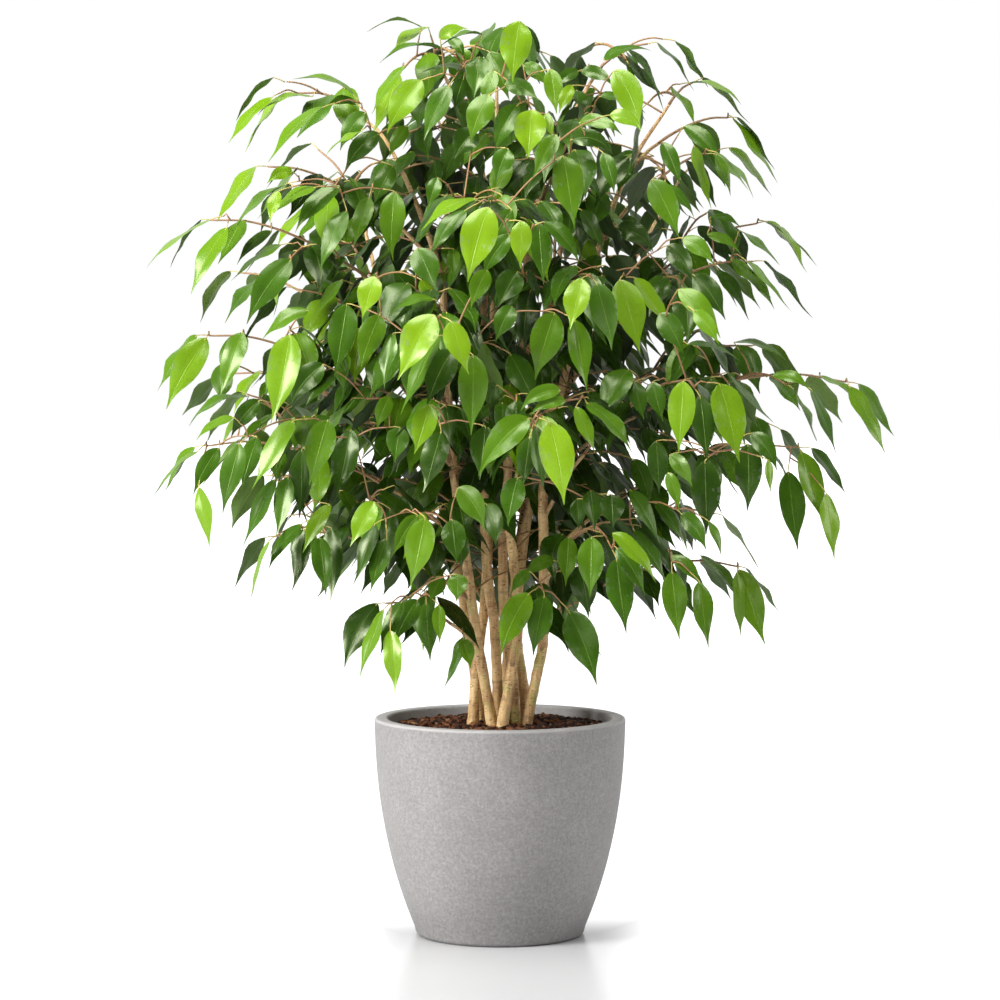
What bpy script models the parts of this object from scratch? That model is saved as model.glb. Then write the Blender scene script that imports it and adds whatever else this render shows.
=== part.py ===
"""A weeping fig in a concrete-grey planter, as separate solids.

Metres, +Z up. The origin is the centre of the planter's flat foot, and the
plant's front looks along -Y. The pieces are the planter, the potting soil, the
bark mulch on it, nine woody stems with their limbs, and the leafy shoots that
grow from the limbs. Each stem stands in a plain hole in the soil and the mulch,
and each shoot goes on from the cut end of its limb.
"""

import math
import random

import bmesh
import bpy
from mathutils import Matrix, Vector
from mathutils.bvhtree import BVHTree
from mathutils.geometry import delaunay_2d_cdt

CM = 0.01
MM = 0.001
UP = Vector((0, 0, 1))
GAP = 0.3 * MM  # between two pieces that touch

# Planter
RIM_RADIUS = 150 * MM
POT_HEIGHT = 260 * MM
POT_LEAN = 6 * MM  # how far the side leans in from rim to foot, before its belly
POT_BELLY = 46 * MM  # how far it curves in towards the foot
POT_CURVE = 2.1  # power of that curve
WALL = 16.5 * MM
FLOOR = 20 * MM
RIM_ROUND = 4 * MM
FOOT_ROUND = 7 * MM
FOOT_HEIGHT = 10.5 * MM  # where the side turns in to the foot
POT_SEGMENTS = 36

# Soil and mulch
SOIL_TOP = 236 * MM
MULCH_TOP = 249 * MM
MULCH_MOUND = 5 * MM  # how much higher the mulch lies round the stems
MULCH_RELIEF = 3.2 * MM
CHIPS = 90
CHIP_SPACING = 19 * MM
MULCH_SEED = 7

# Stems and limbs
STEM_BOTTOM = 208 * MM
STEM_RADIUS = 6.2 * MM
STEM_TIP_RADIUS = 1.7 * MM
STEM_TAPER = 2.2
LIMB_RADIUS = 2.6 * MM
SHOOT_RADIUS = 1.9 * MM
TWIG_TIP_RADIUS = 1.4 * MM
STEM_SIDES = 6
LIMB_SIDES = 4
TWIG_SIDES = 3
HOLE_RADIUS = 7.1 * MM
HOLE_SIDES = 8
CLEARANCE = 2.5 * MM  # kept between branches that pass each other

# Branches
MAIN_STEPS = 5  # straight runs in a limb with its shoot
LIMB_STEPS = 1.5  # of those, how many are woody limb
FORK_STEPS = 3
ARCH = 0.16  # rise of a branch above its chord, as a share of the chord
SWINGS = (0, 20, -20, 40, -40, 60, -60, 80, -80)  # degrees, tried in turn
START_SHIFTS = (0, 1.0, -1.0, 2.0, -2.0, 3.0)  # cm along the stem, tried in turn
FORK_STARTS = (0.34, 0.48, 0.6)  # where forks leave a shoot's main twig, as shares of it

# Leaves
LEAF_SPACING = 47 * MM
LEAF_LENGTH = (64 * MM, 88 * MM)
LEAF_WIDTH = (0.40, 0.47)  # share of the blade's length
BLADE_THICKNESS = 1.3 * MM  # at the midrib, running out to the edge
BLADE_FOLD = 0.16  # how far the edges stand above the midrib, as a share of half width
PETIOLE_LENGTH = (10 * MM, 16 * MM)
PETIOLE_RADIUS = 0.6 * MM
EDGE_STATIONS = ((0.13, 0.74), (0.43, 1.0), (0.79, 0.33))  # share of length, share of half width
MIDRIB_STATIONS = (0.30, 0.66)
LEAF_TURNS = (0, 25, -25, 50, -50, 75, -75)  # degrees about the vertical, tried in turn
STALK_CORNERS = 3  # a leaf's first corners, those inside the twig

LEAF_COLOURS = ((0.035, 0.115, 0.02), (0.06, 0.17, 0.025), (0.11, 0.27, 0.03), (0.045, 0.14, 0.022))

# The tables below are centimetres read on the upright plane through the pot's
# axis, as an eye at this distance and height sees them, with y the true depth.
EYE_DISTANCE = 4.0
EYE_HEIGHT = 0.708

STEMS = {
    "stem_1": ((-0.9, -2.2, 25), (-2.2, -2.6, 32.3), (-3.0, -2.8, 37.2), (-4.0, -2.8, 44.4),
               (-5.5, -2.5, 55.4), (-6.3, -2.5, 66), (-6.9, -3, 77.3), (-9.2, -4, 85.3),
               (-13.3, -5, 94.2), (-16.5, -5, 97.5)),
    "stem_2": ((-0.3, 0.3, 25), (-0.3, 0.1, 29), (-0.7, -0.6, 37.2), (-1.4, -0.9, 42),
               (-1.9, -0.7, 52), (-2.1, -0.7, 66), (-1.7, -1.2, 85), (-2.6, -1.8, 93.5),
               (-4.4, -2.6, 97.8), (-7.2, -3.3, 103.5)),
    "stem_3": ((1.7, -0.3, 25), (1.6, -0.1, 30), (0.9, 0.9, 35), (0.4, 1.3, 40),
               (0.3, 1.2, 50), (-0.4, 1.4, 62), (-0.8, 2, 78), (-0.4, 2, 92), (-0.4, 1.2, 103)),
    "stem_4": ((0.3, -3.4, 25), (1.3, -2.9, 31.1), (2.1, -2.5, 36), (2.0, -2.2, 41),
               (0.9, -1.8, 52), (1.2, -1.7, 59), (2.5, -1.5, 71), (3.3, -1.6, 81.3),
               (5.5, -2, 91), (9.9, -2.8, 100), (11.7, -3, 102.8)),
    "stem_5": ((3.1, -1.8, 25), (4.4, -2.0, 31.1), (5.2, -2.0, 36), (5.2, -1.8, 47),
               (5.2, -1.6, 54), (6.8, -1, 63), (10.9, -0.3, 79.1), (15.1, -1.5, 90.9),
               (20.0, -2.5, 98.8)),
    "stem_6": ((3.2, 2.2, 25), (2.9, 2.2, 29), (2.0, 2.5, 36), (2.6, 3.0, 45), (4.2, 3.3, 54),
               (8, 4.5, 65), (13.5, 6.4, 76), (19, 7.5, 86)),
    "stem_7": ((0.4, 2.6, 25), (0.8, 3.4, 32), (1.8, 5, 42), (3.5, 8, 55), (5.5, 11, 68),
               (7, 13, 80), (8, 14, 90)),
    "stem_8": ((-3.2, -1.0, 25), (-2.8, -0.4, 32.3), (-1.9, 1.2, 39), (-1.4, 3.0, 48),
               (-1.6, 5.2, 60), (-3, 7.5, 72), (-4.6, 9, 84), (-6, 9.5, 93)),
    "stem_9": ((-2.3, 1.7, 25), (-3.0, 2.2, 31), (-4.4, 3.4, 40), (-7, 6, 52), (-10.5, 9, 64),
               (-14, 11, 76), (-16.5, 12, 86)),
}

# Each stem's top shoot: the tips of its main twig and of its forks.
TOPS = {
    "stem_1": ((-24, -5, 100.2), (-18.5, -9, 100.8)),
    "stem_2": ((-8.2, -4, 107), (-11.5, -9, 103), (-4.5, -10, 103.5)),
    "stem_3": ((-0.8, 0, 106.8), (2.0, -6, 107.8), (5, 4, 105)),
    "stem_4": ((17.5, -4, 106), (15, -10, 104), (10, 4, 105)),
    "stem_5": ((22.8, -3, 101.4), (17.5, -8, 99)),
    "stem_6": ((24, 9, 92.5), (17, 13, 93)),
    "stem_7": ((10, 17, 99), (3.5, 14, 98)),
    "stem_8": ((-9.5, 13, 100.5), (-3, 8, 99.5)),
    "stem_9": ((-21.5, 14, 93.5), (-14, 18, 92)),
}

# Branches: the stem, the height where the limb leaves it, and the tips.
BRANCHES = {
    "left_91": ("stem_1", 80, ((-27.5, -2, 91.5), (-20, -11, 88.5))),
    "left_85": ("stem_1", 70, ((-34.4, -4, 85.2), (-25, -11, 80.5))),
    "left_77": ("stem_1", 63, ((-24, -7, 77), (-15.3, -15, 78.3))),
    "left_71": ("stem_1", 56, ((-34.6, -3, 71.5), (-25.5, -15, 71.3))),
    "left_58": ("stem_1", 47, ((-34.9, -4, 58.4), (-24.3, -16, 61.7), (-30, 3, 64.5))),
    "left_54": ("stem_9", 44, ((-27, 6, 54.8), (-21, 17, 56))),
    "left_48": ("stem_1", 40, ((-26.9, -6, 47.6), (-15.5, -16, 51.8))),
    "left_40": ("stem_1", 34.5, ((-13.6, -7, 39.6), (-8.8, -11, 41))),
    "right_97": ("stem_5", 91, ((27, -4, 97.3),)),
    "right_93": ("stem_5", 83, ((26, -2, 93.5), (19.5, -12, 90.5))),
    "right_85": ("stem_6", 69, ((30.5, 2, 84.8), (24.5, -3, 86))),
    "right_80": ("stem_5", 68, ((30, -7, 80.3), (21.5, -13, 77.5))),
    "right_70": ("stem_6", 57, ((30, 4, 70.3), (23, -2, 72))),
    "right_66": ("stem_5", 55, ((41.1, -3, 66), (27, -13, 66), (34, -9, 65.7))),
    "right_64": ("stem_5", 50, ((21.7, -18, 66.2), (15, -13, 64.5))),
    "right_58": ("stem_5", 45, ((35.5, -5, 58.2), (24, -13, 57.5))),
    "right_44": ("stem_5", 37.5, ((28.3, -6, 44), (20, -12, 45.8))),
    "right_48": ("stem_5", 41.5, ((11.5, -19, 48.2), (15.5, -14, 49))),
    "right_50": ("stem_6", 43, ((25.5, 8, 50.3), (17, 19, 49))),
    "right_39": ("stem_5", 33.5, ((7.8, -7, 39.6),)),
    "front_87": ("stem_2", 75, ((-1.2, -20, 87.3), (2.3, -17, 85.5), (-5.5, -17, 88))),
    "front_74": ("stem_1", 60, ((-6.3, -22, 74), (-3.8, -21, 69.3), (-10, -18, 77))),
    "front_64": ("stem_1", 51, ((-8.3, -20, 63.8), (-16, -15, 64))),
    "front_50": ("stem_1", 43, ((-9, -19, 50.4), (-5.5, -15, 52))),
    "front_62": ("stem_4", 50, ((5.0, -26, 61.9), (9.5, -20, 64), (0.5, -21, 65))),
    "front_78": ("stem_4", 65, ((9.2, -19, 78.6), (14.8, -17, 78.4), (4, -18, 77))),
    "front_95": ("stem_4", 83, ((8.4, -15, 93.2), (3.6, -12, 98.5), (11, -10, 98))),
    "front_41": ("stem_4", 32, ((3.7, -12, 41.3),)),
    "back_66": ("stem_9", 54, ((-32, 13, 67), (-24, 23, 64))),
    "back_77": ("stem_9", 64, ((-31, 17, 79), (-21, 25, 77))),
    "back_88": ("stem_9", 75, ((-24, 20, 89), (-17, 24, 86))),
    "back_46": ("stem_8", 40, ((-17, 20, 46.5), (-9, 24, 48))),
    "back_60": ("stem_8", 51, ((-14, 30, 62), (-6, 30, 58))),
    "back_80": ("stem_8", 67, ((-12, 29, 82), (-4, 26, 85))),
    "back_55": ("stem_7", 44, ((5, 32, 56), (13, 27, 52))),
    "back_72": ("stem_7", 58, ((8, 34, 74), (-1, 33, 70))),
    "back_89": ("stem_7", 74, ((7, 26, 91), (14, 24, 87))),
    "back_63": ("stem_6", 53, ((25, 22, 65), (32, 12, 61))),
    "back_79": ("stem_6", 65, ((24, 22, 80), (16, 28, 77))),
}


def seen_at(x, y, z):
    """The point at depth y that the eye sees at (x, z) on the plane through the pot's axis."""
    spread = 1 + y * CM / EYE_DISTANCE
    return Vector((x * CM * spread, y * CM, EYE_HEIGHT + (z * CM - EYE_HEIGHT) * spread))


def stem_path(name):
    """The stem's centre line, with a straight foot down in the soil."""
    points = [seen_at(*point) for point in STEMS[name]]
    lean = (points[0] - points[1]) / (points[1].z - points[0].z)
    return [points[0] + lean * (points[0].z - STEM_BOTTOM)] + points[1:]


def lengths_along(path):
    """The distance of each point of the path from its start."""
    found = [0.0]
    for a, b in zip(path, path[1:]):
        found.append(found[-1] + (b - a).length)
    return found


def point_along(path, distance):
    """The point at that distance along the path, and the direction there."""
    for a, b in zip(path, path[1:]):
        step = (b - a).length
        if distance <= step or b is path[-1]:
            return a.lerp(b, distance / step), (b - a).normalized()
        distance -= step


def stem_radii(path):
    """The stem's radius at each point: nearly even low down, thin at the top."""
    along = lengths_along(path)
    return [
        STEM_TIP_RADIUS + (STEM_RADIUS - STEM_TIP_RADIUS) * (1 - (s / along[-1]) ** STEM_TAPER)
        for s in along
    ]


def point_at_height(path, height):
    """The point where the path first passes that height."""
    for a, b in zip(path, path[1:]):
        if a.z <= height <= b.z:
            return a.lerp(b, (height - a.z) / (b.z - a.z))
    return path[-1].copy()


def arched(start, tip, swing, steps):
    """A branch from start to tip that rises above its chord, with the rise swung about the chord."""
    chord = tip - start
    side = chord.cross(UP).normalized()
    lift = (UP * math.cos(swing) + side * math.sin(swing)) * (ARCH * chord.length)
    second = start + chord * 0.30 + lift
    third = start + chord * 0.74 + lift
    points = []
    for i in range(steps + 1):
        t = i / steps
        u = 1 - t
        points.append(
            start * u**3 + second * (3 * u * u * t) + third * (3 * u * t * t) + tip * t**3
        )
    return points


def split(path, steps):
    """The path's first steps and the rest, cut in the middle of a straight run, a gap apart."""
    whole = int(steps)
    a, b = path[whole], path[whole + 1]
    cut = a.lerp(b, steps - whole)
    return path[: whole + 1] + [cut], [cut + (b - a).normalized() * GAP] + path[whole + 1 :]


def gap_between(a, b, c, d):
    """The shortest distance between the straight runs a-b and c-d."""
    u, v, w = b - a, d - c, a - c
    uu, uv, vv, uw, vw = u.dot(u), u.dot(v), v.dot(v), u.dot(w), v.dot(w)
    spread = uu * vv - uv * uv
    s = min(1, max(0, (uv * vw - vv * uw) / spread)) if spread > 1e-12 else 0
    t = min(1, max(0, (uv * s + vw) / vv))
    s = min(1, max(0, (uv * t - uw) / uu))
    return (a + u * s - c - v * t).length


def is_clear(path, radius, node, placed):
    """Whether the path keeps its clearance from everything placed that belongs to other nodes."""
    for other, points, other_radius in placed:
        if other == node:
            continue
        near = radius + other_radius + CLEARANCE
        for a, b in zip(path, path[1:]):
            for c, d in zip(points, points[1:]):
                if gap_between(a, b, c, d) < near:
                    return False
    return True


def forks_of(shoot, tips, node, placed):
    """The side twigs of a shoot, each leaving it further out, clear of other nodes."""
    length = lengths_along(shoot)[-1]
    forks = []
    for tip, share in zip(tips, FORK_STARTS):
        root, _ = point_along(shoot, length * share)
        for swing in SWINGS:
            fork = arched(root, seen_at(*tip), math.radians(swing), FORK_STEPS)
            if is_clear(fork[1:], TWIG_TIP_RADIUS, node, placed):
                forks.append(fork)
                break
    return forks


def skeleton():
    """Stem paths, and for each shoot its limb, its main twig and its forks, all clear of each other."""
    stems = {name: stem_path(name) for name in STEMS}
    placed = [(name, path, STEM_RADIUS) for name, path in stems.items()]
    limbs = {name: [] for name in STEMS}
    shoots = {}
    for name, tips in TOPS.items():
        path = stems[name]
        along = (path[-1] - path[-2]).normalized()
        root = path[-1] + along * GAP
        main = [root, root + along * (8 * MM)]
        main += arched(main[1], seen_at(*tips[0]), 0, MAIN_STEPS - 3)[1:]
        node = "shoot_top_" + name.removeprefix("stem_")
        placed.append((node, main[1:], SHOOT_RADIUS))
        shoots[node] = [main] + forks_of(main, tips[1:], node, placed)
        placed += [(node, fork, TWIG_TIP_RADIUS) for fork in shoots[node][1:]]
    for name, (stem, height, tips) in BRANCHES.items():
        node = "shoot_" + name
        found = None
        for shift in START_SHIFTS:
            start = point_at_height(stems[stem], seen_at(0, 0, height + shift).z)
            for swing in SWINGS:
                path = arched(start, seen_at(*tips[0]), math.radians(swing), MAIN_STEPS)
                limb, main = split(path, LIMB_STEPS)
                if is_clear(limb, LIMB_RADIUS, stem, placed) and is_clear(
                    main[1:], SHOOT_RADIUS, node, placed
                ):
                    found = (limb, main)
                    break
            if found:
                break
        if not found:
            print("no clear way for", node)
            continue
        limb, main = found
        limbs[stem].append(limb)
        placed.append((stem, limb, LIMB_RADIUS))
        placed.append((node, main, SHOOT_RADIUS))
        shoots[node] = [main] + forks_of(main, tips[1:], node, placed)
        placed += [(node, fork, TWIG_TIP_RADIUS) for fork in shoots[node][1:]]
    return stems, limbs, shoots


def leaf_seats(twigs):
    """Where the leaves of one shoot grow: (point, direction, side, key). The end leaf has side 0."""
    for t, twig in enumerate(twigs):
        length = lengths_along(twig)[-1]
        count = int((length - 12 * MM) / LEAF_SPACING)
        for i in range(count + 1):
            point, along = point_along(twig, length - i * LEAF_SPACING)
            side = 0 if i == 0 else (-1 if i % 2 else 1)
            yield point, along, side, f"{t}.{i}"


class Leaf:
    """One leaf's stalk and blade as points: the stalk leaves the twig, and the blade hangs from it."""

    def __init__(self, point, along, side, key, turn=0.0):
        draw = random.Random(key)
        across = along.cross(UP).normalized() * side
        level = Vector((along.x, along.y, 0)).normalized()
        outward = Vector((point.x, point.y, 0)).normalized()
        noise = Vector([draw.uniform(-1, 1) for _ in range(3)])
        self.length = draw.uniform(*LEAF_LENGTH)
        self.half_width = self.length * draw.uniform(*LEAF_WIDTH) / 2
        stalk = along * 0.55 + across * 0.8 + UP * 0.2 + noise * 0.15 if side else along
        spin = Matrix.Rotation(turn, 3, "Z")
        self.stalk = (spin @ stalk).normalized() if side else along
        self.root = point if side else point - along * (2 * MM)
        self.base = point + self.stalk * draw.uniform(*PETIOLE_LENGTH)
        first = self.stalk * 0.55 + UP * -0.55
        last = UP * -1 + level * 0.30 + across * 0.20 + outward * 0.15 + noise * 0.22
        self.first = first.normalized()
        self.last = (spin @ last).normalized()
        facing = across * 0.7 + outward * 0.6 + UP * 0.4 + noise * 0.45
        self.facing = spin @ facing

    def midrib(self, share):
        """The midrib's point, direction and upward normal at that share of the blade's length."""
        steps = 8
        point = self.base.copy()
        for i in range(steps):
            middle = share * (i + 0.5) / steps
            point += self.first.lerp(self.last, middle).normalized() * (self.length * share / steps)
        direction = self.first.lerp(self.last, share).normalized()
        normal = (self.facing - direction * self.facing.dot(direction)).normalized()
        return point, direction, normal

    def edge(self, share, width, side):
        """A point on the blade's edge, with the edge folded up from the midrib."""
        point, direction, normal = self.midrib(share)
        half = self.half_width * width
        return point + direction.cross(normal) * (half * side) + normal * (half * BLADE_FOLD)


def new_mesh(name, mesh):
    """Turns an edit mesh into a mesh with its faces pointing out."""
    bmesh.ops.recalc_face_normals(mesh, faces=mesh.faces)
    data = bpy.data.meshes.new(name)
    mesh.to_mesh(data)
    mesh.free()
    return data


def leaf_mesh(leaf):
    """A three-sided stalk that opens into a thin blade, folded along its midrib."""
    mesh = bmesh.new()
    normal = leaf.midrib(0)[2]
    lift = (normal - leaf.stalk * normal.dot(leaf.stalk)).normalized() * PETIOLE_RADIUS
    flank = leaf.stalk.cross(lift) * 0.87
    corners = (lift * 0.5 - flank, lift * 0.5 + flank, -lift)
    rings = [[mesh.verts.new(end + corner) for corner in corners] for end in (leaf.root, leaf.base)]
    mesh.faces.new(rings[0])
    for i in range(3):
        j = (i + 1) % 3
        mesh.faces.new((rings[0][i], rings[0][j], rings[1][j], rings[1][i]))
    tip = mesh.verts.new(leaf.midrib(1)[0])
    ribs = [leaf.midrib(share) for share in MIDRIB_STATIONS]
    top = [mesh.verts.new(point) for point, _, _ in ribs]
    under = [mesh.verts.new(point - up * BLADE_THICKNESS) for point, _, up in ribs]
    for side, stalk_corner in ((-1, rings[1][0]), (1, rings[1][1])):
        edge = [mesh.verts.new(leaf.edge(share, width, side)) for share, width in EDGE_STATIONS]
        for rib in (top, under):
            mesh.faces.new((stalk_corner, edge[0], rib[0]))
            mesh.faces.new((edge[0], edge[1], rib[0]))
            mesh.faces.new((rib[0], edge[1], rib[1]))
            mesh.faces.new((edge[1], edge[2], rib[1]))
            mesh.faces.new((rib[1], edge[2], tip))
        mesh.faces.new((stalk_corner, rings[1][2], under[0]))
    mesh.faces.new((rings[1][0], rings[1][1], top[0]))
    return new_mesh("leaf", mesh)


def material(name, colour, roughness):
    """A plain finish in that colour."""
    made = bpy.data.materials.new(name)
    made.use_nodes = True
    shader = made.node_tree.nodes["Principled BSDF"]
    shader.inputs["Base Color"].default_value = (*colour, 1)
    shader.inputs["Roughness"].default_value = roughness
    shader.inputs["Metallic"].default_value = 0
    made.diffuse_color = (*colour, 1)
    return made


def add_object(name, data, collection, finish=None):
    made = bpy.data.objects.new(name, data)
    if finish:
        data.materials.clear()
        data.materials.append(finish)
    collection.objects.link(made)
    return made


def add_curve(name, points, radii=None):
    """A curve of straight runs: open, or a closed flat outline where no radii are given."""
    curve = bpy.data.curves.new(name, "CURVE")
    curve.dimensions = "3D" if radii else "2D"
    spline = curve.splines.new("POLY")
    spline.use_cyclic_u = not radii
    spline.points.add(len(points) - 1)
    for place, point, radius in zip(spline.points, points, radii or [1] * len(points)):
        place.co = (*point, 1)
        place.radius = radius
    made = bpy.data.objects.new(name, curve)
    bpy.context.scene.collection.objects.link(made)
    return made


def tube(name, path, radii, sides):
    """A closed tube along the path with that many sides, its caps welded."""
    turns = [math.tau * i / sides for i in range(sides)]
    outline = add_curve("outline", [(math.cos(turn), math.sin(turn), 0) for turn in turns])
    guide = add_curve(name, path, radii)
    guide.data.bevel_mode = "OBJECT"
    guide.data.bevel_object = outline
    guide.data.use_fill_caps = True
    bpy.context.view_layer.update()
    graph = bpy.context.evaluated_depsgraph_get()
    drawn = bpy.data.meshes.new_from_object(guide.evaluated_get(graph))
    bpy.data.objects.remove(guide)
    bpy.data.objects.remove(outline)
    mesh = bmesh.new()
    mesh.from_mesh(drawn)
    bmesh.ops.remove_doubles(mesh, verts=mesh.verts, dist=0.01 * MM)
    return new_mesh(name, mesh)


def combine(body, others, operation, solver="EXACT"):
    """Joins the others to the body, or cuts them from it, and removes them."""
    if not others:
        return
    tools = bpy.data.collections.new("tools")
    bpy.context.scene.collection.children.link(tools)
    for number, data in enumerate(others):
        add_object(f"tool_{number}", data, tools)
    modifier = body.modifiers.new("Combine", "BOOLEAN")
    modifier.operation = operation
    modifier.operand_type = "COLLECTION"
    modifier.collection = tools
    modifier.solver = solver
    bpy.context.view_layer.update()
    graph = bpy.context.evaluated_depsgraph_get()
    joined = bpy.data.meshes.new_from_object(body.evaluated_get(graph))
    body.modifiers.clear()
    body.data = joined
    for tool in list(tools.objects):
        bpy.data.objects.remove(tool)
    bpy.data.collections.remove(tools)


def taper(path, first, last):
    """Radii that fall evenly from the path's start to its end."""
    along = lengths_along(path)
    return [first + (last - first) * s / along[-1] for s in along]


def outer_radius(height):
    """The planter's outer radius at that height."""
    depth = 1 - height / POT_HEIGHT
    return RIM_RADIUS - POT_LEAN * depth - POT_BELLY * depth**POT_CURVE


def inner_radius(height):
    return outer_radius(height) - WALL


def heights(low, high, steps):
    return [low + (high - low) * i / steps for i in range(steps + 1)]


def arc(centre, radius, start, end, steps):
    """Points of a rounded edge. Its angles are degrees from +X towards +Z."""
    angles = [math.radians(start + (end - start) * i / steps) for i in range(steps + 1)]
    return [
        (centre[0] + radius * math.cos(angle), centre[1] + radius * math.sin(angle))
        for angle in angles
    ]


def turned(name, profile, finish, collection):
    """A solid turned about Z from a profile that runs down its outer side, axis to axis."""
    mesh = bmesh.new()
    corners = [mesh.verts.new((radius, 0, height)) for radius, height in profile]
    for a, b in zip(corners, corners[1:]):
        mesh.edges.new((a, b))
    data = bpy.data.meshes.new(name)
    mesh.to_mesh(data)
    mesh.free()
    made = add_object(name, data, collection, finish)
    screw = made.modifiers.new("Turn", "SCREW")
    screw.axis = "Z"
    screw.steps = POT_SEGMENTS
    screw.render_steps = POT_SEGMENTS
    screw.use_merge_vertices = True
    screw.merge_threshold = 0.01 * MM
    return made


def wall_heights():
    """The stations of the planter's inner wall: evenly up to the soil, then the rim."""
    return heights(FLOOR, SOIL_TOP, 2) + [POT_HEIGHT - RIM_ROUND]


def make_planter(finish, collection):
    shoulder = POT_HEIGHT - RIM_ROUND
    inner = [(inner_radius(z), z) for z in wall_heights()]
    outer = [(outer_radius(z), z) for z in reversed(heights(FOOT_HEIGHT, shoulder, 5))]
    inner_edge = arc((inner_radius(POT_HEIGHT) + RIM_ROUND, shoulder), RIM_ROUND, 130, 90, 1)
    outer_edge = arc((RIM_RADIUS - RIM_ROUND, shoulder), RIM_ROUND, 90, 45, 1)
    foot = arc((outer_radius(FOOT_HEIGHT) - FOOT_ROUND * 1.35, FOOT_ROUND), FOOT_ROUND, -35, -90, 2)
    profile = [(0, FLOOR)] + inner + inner_edge + outer_edge + outer + foot + [(0, 0)]
    made = turned("planter", profile, finish, collection)
    made.data.shade_smooth()
    return made


def hole_cutters(stems):
    """A straight round hole for each stem's foot, through the soil and the mulch."""
    cutters = []
    for path in stems.values():
        lean = (path[1] - path[0]).normalized()
        foot = path[0] - lean * (3 * GAP)
        mesh = bmesh.new()
        bmesh.ops.create_cone(
            mesh, cap_ends=True, segments=HOLE_SIDES, radius1=HOLE_RADIUS, radius2=HOLE_RADIUS,
            depth=2 * (MULCH_TOP - STEM_BOTTOM),
        )
        bmesh.ops.translate(mesh, verts=mesh.verts, vec=(0, 0, MULCH_TOP - STEM_BOTTOM))
        bmesh.ops.transform(
            mesh, verts=mesh.verts,
            matrix=Matrix.Translation(foot) @ UP.rotation_difference(lean).to_matrix().to_4x4(),
        )
        cutters.append(new_mesh("hole", mesh))
    return cutters


def make_soil(stems, finish, collection):
    """The soil that fills the planter, a gap inside its wall."""
    wall = [(inner_radius(z) - GAP, max(z, FLOOR + GAP)) for z in wall_heights()[:-1]]
    profile = [(0, SOIL_TOP)] + wall[::-1] + [(0, FLOOR + GAP)]
    made = turned("potting_soil", profile, finish, collection)
    combine(made, hole_cutters(stems), "DIFFERENCE")


def make_mulch(stems, finish, collection):
    """Bark chips as one layer: a low mound whose top breaks into facets at seeded heights."""
    draw = random.Random(MULCH_SEED)
    reach = inner_radius(SOIL_TOP) - GAP
    rim = [math.tau * i / POT_SEGMENTS for i in range(POT_SEGMENTS)]
    spots = [Vector((reach * math.cos(angle), reach * math.sin(angle))) for angle in rim]
    for _ in range(CHIPS * 40):
        spot = Vector((draw.uniform(-reach, reach), draw.uniform(-reach, reach)))
        spaced = all((spot - other).length > CHIP_SPACING for other in spots)
        if spaced and spot.length < reach - CHIP_SPACING * 0.5:
            spots.append(spot)
    spots, _, facets = delaunay_2d_cdt(spots, [], [], 0, 0.01 * MM)[:3]
    mesh = bmesh.new()
    corners = []
    for spot in spots:
        mound = MULCH_MOUND * (1 - (spot.length / reach) ** 2)
        rough = draw.uniform(-1, 1) * MULCH_RELIEF
        at_wall = spot.length > reach - GAP
        height = MULCH_TOP - MULCH_RELIEF if at_wall else MULCH_TOP + mound + rough
        corners.append(mesh.verts.new((*spot, height)))
    for facet in facets:
        mesh.faces.new([corners[i] for i in facet])
    sides = bmesh.ops.extrude_edge_only(mesh, edges=[e for e in mesh.edges if e.is_boundary])["geom"]
    for item in sides:
        if isinstance(item, bmesh.types.BMVert):
            item.co.z = SOIL_TOP + GAP
    bmesh.ops.edgeloop_fill(mesh, edges=[e for e in mesh.edges if e.is_boundary])
    made = add_object("bark_mulch", new_mesh("bark_mulch", mesh), collection, finish)
    combine(made, hole_cutters(stems), "DIFFERENCE")
    return made


def surface(data, first=0):
    """The mesh's surface for overlap tests, from that corner on, with its low and high ends."""
    points = [corner.co.copy() for corner in data.vertices]
    faces = [tuple(face.vertices) for face in data.polygons if min(face.vertices) >= first]
    low = [min(point[i] for point in points) for i in range(3)]
    high = [max(point[i] for point in points) for i in range(3)]
    return BVHTree.FromPolygons(points, faces), low, high


def meets(first, second):
    tree, low, high = first
    other_tree, other_low, other_high = second
    if any(low[i] > other_high[i] or other_low[i] > high[i] for i in range(3)):
        return False
    return bool(tree.overlap(other_tree))


def grow_leaves(shoots, twigs, obstacles):
    """Each shoot's leaves, turned where they would meet another piece, or left off if none is clear."""
    taken = list(obstacles)
    for node, parts in twigs.items():
        taken += [(node, surface(part)) for part in parts]
    leaves = {node: [] for node in shoots}
    for node, paths in shoots.items():
        for point, along, side, key in leaf_seats(paths):
            for turn in LEAF_TURNS:
                leaf = leaf_mesh(Leaf(point, along, side, f"{node}.{key}", math.radians(turn)))
                shape = surface(leaf)
                blade = surface(leaf, STALK_CORNERS)
                if not any(
                    meets(blade if owner == node else shape, other) for owner, other in taken
                ):
                    leaves[node].append(leaf)
                    taken.append((f"{node}.{key}", shape))
                    break
    return leaves


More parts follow.
